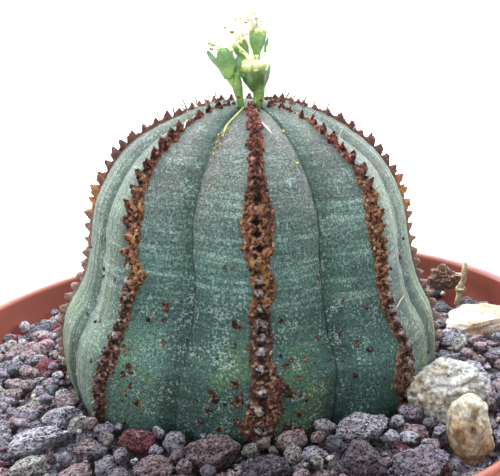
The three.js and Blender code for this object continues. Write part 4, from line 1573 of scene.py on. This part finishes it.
def add_filament(bm, start, end, thickness, sac_colour, sac_size):
    """Adds an arched filament that ends in a pair of pollen sacs."""
    end = Vector(end)
    middle = (start + end) / 2 + Vector((0.12, -0.15, 0.3))
    rings = add_tube(bm, soft_path([start, middle, end], 8), [thickness] * 5 + [thickness * 0.75] * 4, 8)
    for ring in rings:
        paint(bm, ring, CREAM)
    for shift in (-0.55, 0.55):
        sac = bmesh.ops.create_icosphere(bm, subdivisions=3, radius=1)["verts"]
        place = Matrix.Translation(end + Vector((shift * sac_size, 0, 0.05)))
        tilt = Matrix.Rotation(shift * 0.7, 4, "Y")
        size = Matrix.Diagonal((0.6 * sac_size, 0.6 * sac_size, 0.85 * sac_size, 1))
        bmesh.ops.transform(bm, matrix=place @ tilt @ size, verts=sac)
        paint(bm, sac, sac_colour)


# Filaments by cup: end of each, its thickness, the colour of its pollen sacs and their size
FILAMENTS = {
    "left": [
        ((-6.6, -3.2, 51.8), 0.12, YELLOW, 0.3),
        ((-6.3, -3, 50.9), 0.12, POLLEN_BROWN, 0.24),
        ((-6.1, -3.4, 51.5), 0.12, YELLOW, 0.26),
        ((-5.3, -2.6, 52.2), 0.12, CREAM, 0.22),
    ],
    "centre": [
        ((-4.1, -1.2, 54.1), 0.11, YELLOW, 0.26),
        ((-3, -1.4, 53.4), 0.12, POLLEN_BROWN, 0.3),
        ((-2.5, -0.8, 55.4), 0.11, YELLOW, 0.24),
        ((-1.7, -0.6, 55.5), 0.11, YELLOW, 0.24),
        ((-1, -1.4, 52.9), 0.3, PEACH, 0.5),
    ],
    "upper": [
        ((0.5, 0.4, 56.2), 0.11, YELLOW, 0.26),
        ((-0.8, 0.2, 54.8), 0.12, POLLEN_BROWN, 0.22),
        ((-0.2, 0, 55.2), 0.38, PEACH, 0.4),
        ((0.9, 0.2, 55.4), 0.14, YELLOW, 0.28),
        ((1.8, 0.5, 55), 0.12, CREAM, 0.22),
    ],
    "right": [
        ((-0.8, -3.2, 52.8), 0.24, CREAM, 0.3),
        ((-2.4, -3.4, 51.8), 0.26, CREAM, 0.42),
        ((-1.6, -3.6, 50.6), 0.14, YELLOW, 0.3),
        ((0.9, -4.1, 49.9), 0.14, CREAM, 0.26),
        ((2.2, -3.6, 49.9), 0.14, CREAM, 0.24),
    ],
}


def model_stamens(side):
    """The cream, fringed middle of a cup and the filaments that rise from it."""
    foot, radius, height, lean, _, _ = CUPS[side]
    picks = random.Random(len(side))
    mouth = Vector(foot) + Matrix.Rotation(math.radians(-lean), 3, "Y") @ Vector((0, 0, 0.92 * height))
    bm = new_toned_mesh()
    for index in range(9 if side == "right" else 5):
        tuft = rough_stone(bm, 3, 60 + index, chips=2, lumps=0.3, pores=0.0)
        spread = 0.55 * radius if index else 0
        turn = index * SPIRAL
        at = mouth + Vector((spread * math.cos(turn), spread * math.sin(turn), 0.16 * radius))
        size = 0.42 * radius * picks.uniform(0.8, 1.15)
        bmesh.ops.transform(bm, matrix=Matrix.Translation(at) @ Matrix.Scale(size, 4), verts=tuft)
        paint(bm, tuft, mixed(CREAM, YELLOW, picks.uniform(0, 0.4)))
    for filament in FILAMENTS[side]:
        add_filament(bm, mouth, *filament)
    make_flower_piece(f"filaments_{side}", bm, stamen_cream, f"stamens_{side}")


for side in FILAMENTS:
    model_stamens(side)


# ---- Fallen bits ----
# Spent filaments and pollen that dropped on the plant and stuck there, dry threads of old stalks caught in
# the cork, one white bristle, and short dry hairs that stand on the ribs.

# Threads: (degrees from the front, height) of each point in mm, thickness in mm and colour
THREADS = [
    ([(-13, 42), (-16, 41.6), (-19, 41), (-20, 40.4), (-19, 39.6)], 0.16, (0.62, 0.68, 0.2)),
    ([(7, 40.5), (9.5, 40), (11.5, 39.4)], 0.16, (0.85, 0.84, 0.8)),
    ([(-47, 39.2), (-51, 39.8), (-55, 40.2)], 0.14, (0.8, 0.74, 0.6)),
    ([(-49, 37.6), (-54, 38.4), (-57, 38)], 0.12, (0.8, 0.7, 0.5)),
    ([(47, 37.4), (51, 37.8), (54, 38.2)], 0.12, (0.8, 0.72, 0.5)),
    ([(49, 12.5), (54, 13.6), (58, 13.8)], 0.1, (0.75, 0.68, 0.55)),
]

# Pollen grains: degrees from the front, height, and radius in mm
POLLEN = [
    (-20.5, 39.2, 0.24), (-22, 38.9, 0.2), (-19, 39.3, 0.22), (-21.5, 39.6, 0.18), (-18.5, 38.5, 0.16),
    (-23, 39.6, 0.2), (-20, 38.2, 0.22), (-22.5, 38.2, 0.15), (-18, 40.1, 0.18), (-24, 38.9, 0.16),
    (-17, 39.6, 0.14), (-21, 37.6, 0.16), (5, 40.8, 0.26), (23, 40, 0.22), (21, 36.2, 0.26),
    (22, 36.6, 0.18), (-33, 35.6, 0.18), (-18, 33.6, 0.17), (-28, 36.8, 0.15),
]  # fmt: skip

# Dry hairs: their ribs, which are all but the front and back ones, their heights in mm and their colours
HAIRY_RIBS = (-3, -2, -1, 1, 2, 3)
HAIR_HEIGHTS = (41.4, 40.9, 40.1, 39, 37.6)
HAIR_TONES = [(0.62, 0.5, 0.36), (0.3, 0.15, 0.1), (0.75, 0.68, 0.55)]


def on_skin(angle, height, lift):
    """A point in mm over the skin, from its degrees from the front and its height."""
    return skin_point(rib_count_at(angle, height), length_at(height), lift)[0]


def model_fallen_bits():
    bm = new_toned_mesh()
    for points, thickness, colour in THREADS:
        path = soft_path([on_skin(angle, height, 0.25 + thickness) for angle, height in points], 12)
        widths = [thickness * (0.6 + 0.4 * math.sin(math.pi * i / 12)) for i in range(13)]
        for ring in add_tube(bm, path, widths, 8):
            paint(bm, ring, colour)
    for index, (angle, height, radius) in enumerate(POLLEN):
        grain = rough_stone(bm, 3, 80 + index, lumps=0.35, pores=0.0)
        place = Matrix.Translation(on_skin(angle, height, 0.1 + radius)) @ Matrix.Scale(radius, 4)
        bmesh.ops.transform(bm, matrix=place, verts=grain)
        paint(bm, grain, (0.55, 0.55, 0.08) if index % 3 else (0.22, 0.14, 0.03))
    picks = random.Random(31)
    for rib in HAIRY_RIBS:
        for height in HAIR_HEIGHTS:
            angle = rib_angle(rib, height) + picks.uniform(-3, 3)
            foot = on_skin(angle, height, 0.2)
            tip = on_skin(angle + picks.uniform(-4, 4), height, picks.uniform(1.5, 2.3))
            tip += Vector((picks.uniform(-0.4, 0.4), picks.uniform(-0.4, 0.4), picks.uniform(0, 0.5)))
            path = soft_path([foot, (foot + tip) / 2, tip], 4)
            for ring in add_tube(bm, path, [0.16, 0.14, 0.12, 0.09, 0.06], 6):
                paint(bm, ring, picks.choice(HAIR_TONES))
    make_flower_piece("fallen_bits", bm, stamen_cream, None)


model_fallen_bits()


# ---- Stage, lights and camera ----
# A plain white table, soft lights overhead and behind, weaker ones in front, and a camera that looks down on
# the pot.
def seen_by_camera(tree):
    return add_node(tree, "ShaderNodeLightPath").outputs["Is Camera Ray"]


def add_floor():
    """The table. The camera sees it glow, so that it is as white as the background."""
    material, tree, shader = new_material("stage_white", 0.9)
    glow = times(tree, seen_by_camera(tree), 1.2)
    set_inputs(shader, [("Base Color", (0.9, 0.9, 0.9)), ("Emission Color", (1, 1, 1))])
    set_inputs(shader, [("Emission Strength", glow)])
    bm = bmesh.new()
    bmesh.ops.create_circle(bm, cap_ends=True, radius=14, segments=96)
    floor = add_mesh_object("floor", bm)
    floor.data.materials.append(material)


def add_light(name, place, size, watts):
    """A round soft light that points at the foot of the plant."""
    lamp = bpy.data.lights.new(name, "AREA")
    lamp.shape = "DISK"
    lamp.size = size
    lamp.energy = watts
    lamp.color = (0.96, 1, 1.04)
    holder = add_object(name, lamp)
    holder.location = place
    holder.rotation_mode = "QUATERNION"
    holder.rotation_quaternion = (Vector((0, 0, 0.1)) - Vector(place)).to_track_quat("-Z", "Y")


def add_camera():
    """The camera looks along +Y and 17 degrees down, rolled 5 degrees so that the stem stands upright."""
    aim = stem_place @ Vector((0, 0, 18.7 * MM))
    tilt = math.radians(17)
    roll = math.radians(5.07)
    distance = 155 * MM
    forward = Vector((0, math.cos(tilt), -math.sin(tilt)))
    level_right = Vector((1, 0, 0))
    right = math.cos(roll) * level_right - math.sin(roll) * level_right.cross(forward)
    up = right.cross(forward)
    camera = bpy.data.cameras.new("camera")
    camera.lens = 64.8
    camera.sensor_width = 36
    camera.clip_start = 0.01
    camera.clip_end = 50
    holder = add_object("camera", camera)
    facing = Matrix((right, up, -forward)).transposed().to_4x4()
    holder.matrix_world = Matrix.Translation(aim - distance * forward) @ facing
    bpy.context.scene.camera = holder


def add_sky():
    """A white background that lights the object only dimly."""
    world = bpy.data.worlds.new("studio")
    world.use_nodes = True
    tree = world.node_tree
    strength = maths(tree, "ADD", times(tree, seen_by_camera(tree), 0.7), 0.3)
    set_inputs(tree.nodes["Background"], [("Color", (1, 1, 1)), ("Strength", strength)])
    bpy.context.scene.world = world


add_floor()
add_sky()
add_light("overhead", (0, 0.05, 0.7), 0.4, 4.2)
add_light("behind", (0, 0.4, 0.58), 0.5, 5.5)
add_light("behind_left", (-0.5, 0.4, 0.35), 0.4, 3.4)
add_light("behind_right", (0.5, 0.4, 0.35), 0.4, 4.3)
add_light("front_left", (-0.35, -0.5, 0.4), 0.4, 1.4)
add_light("front_right", (0.35, -0.5, 0.4), 0.4, 0.5)
add_camera()
bpy.context.scene.view_settings.view_transform = "Standard"
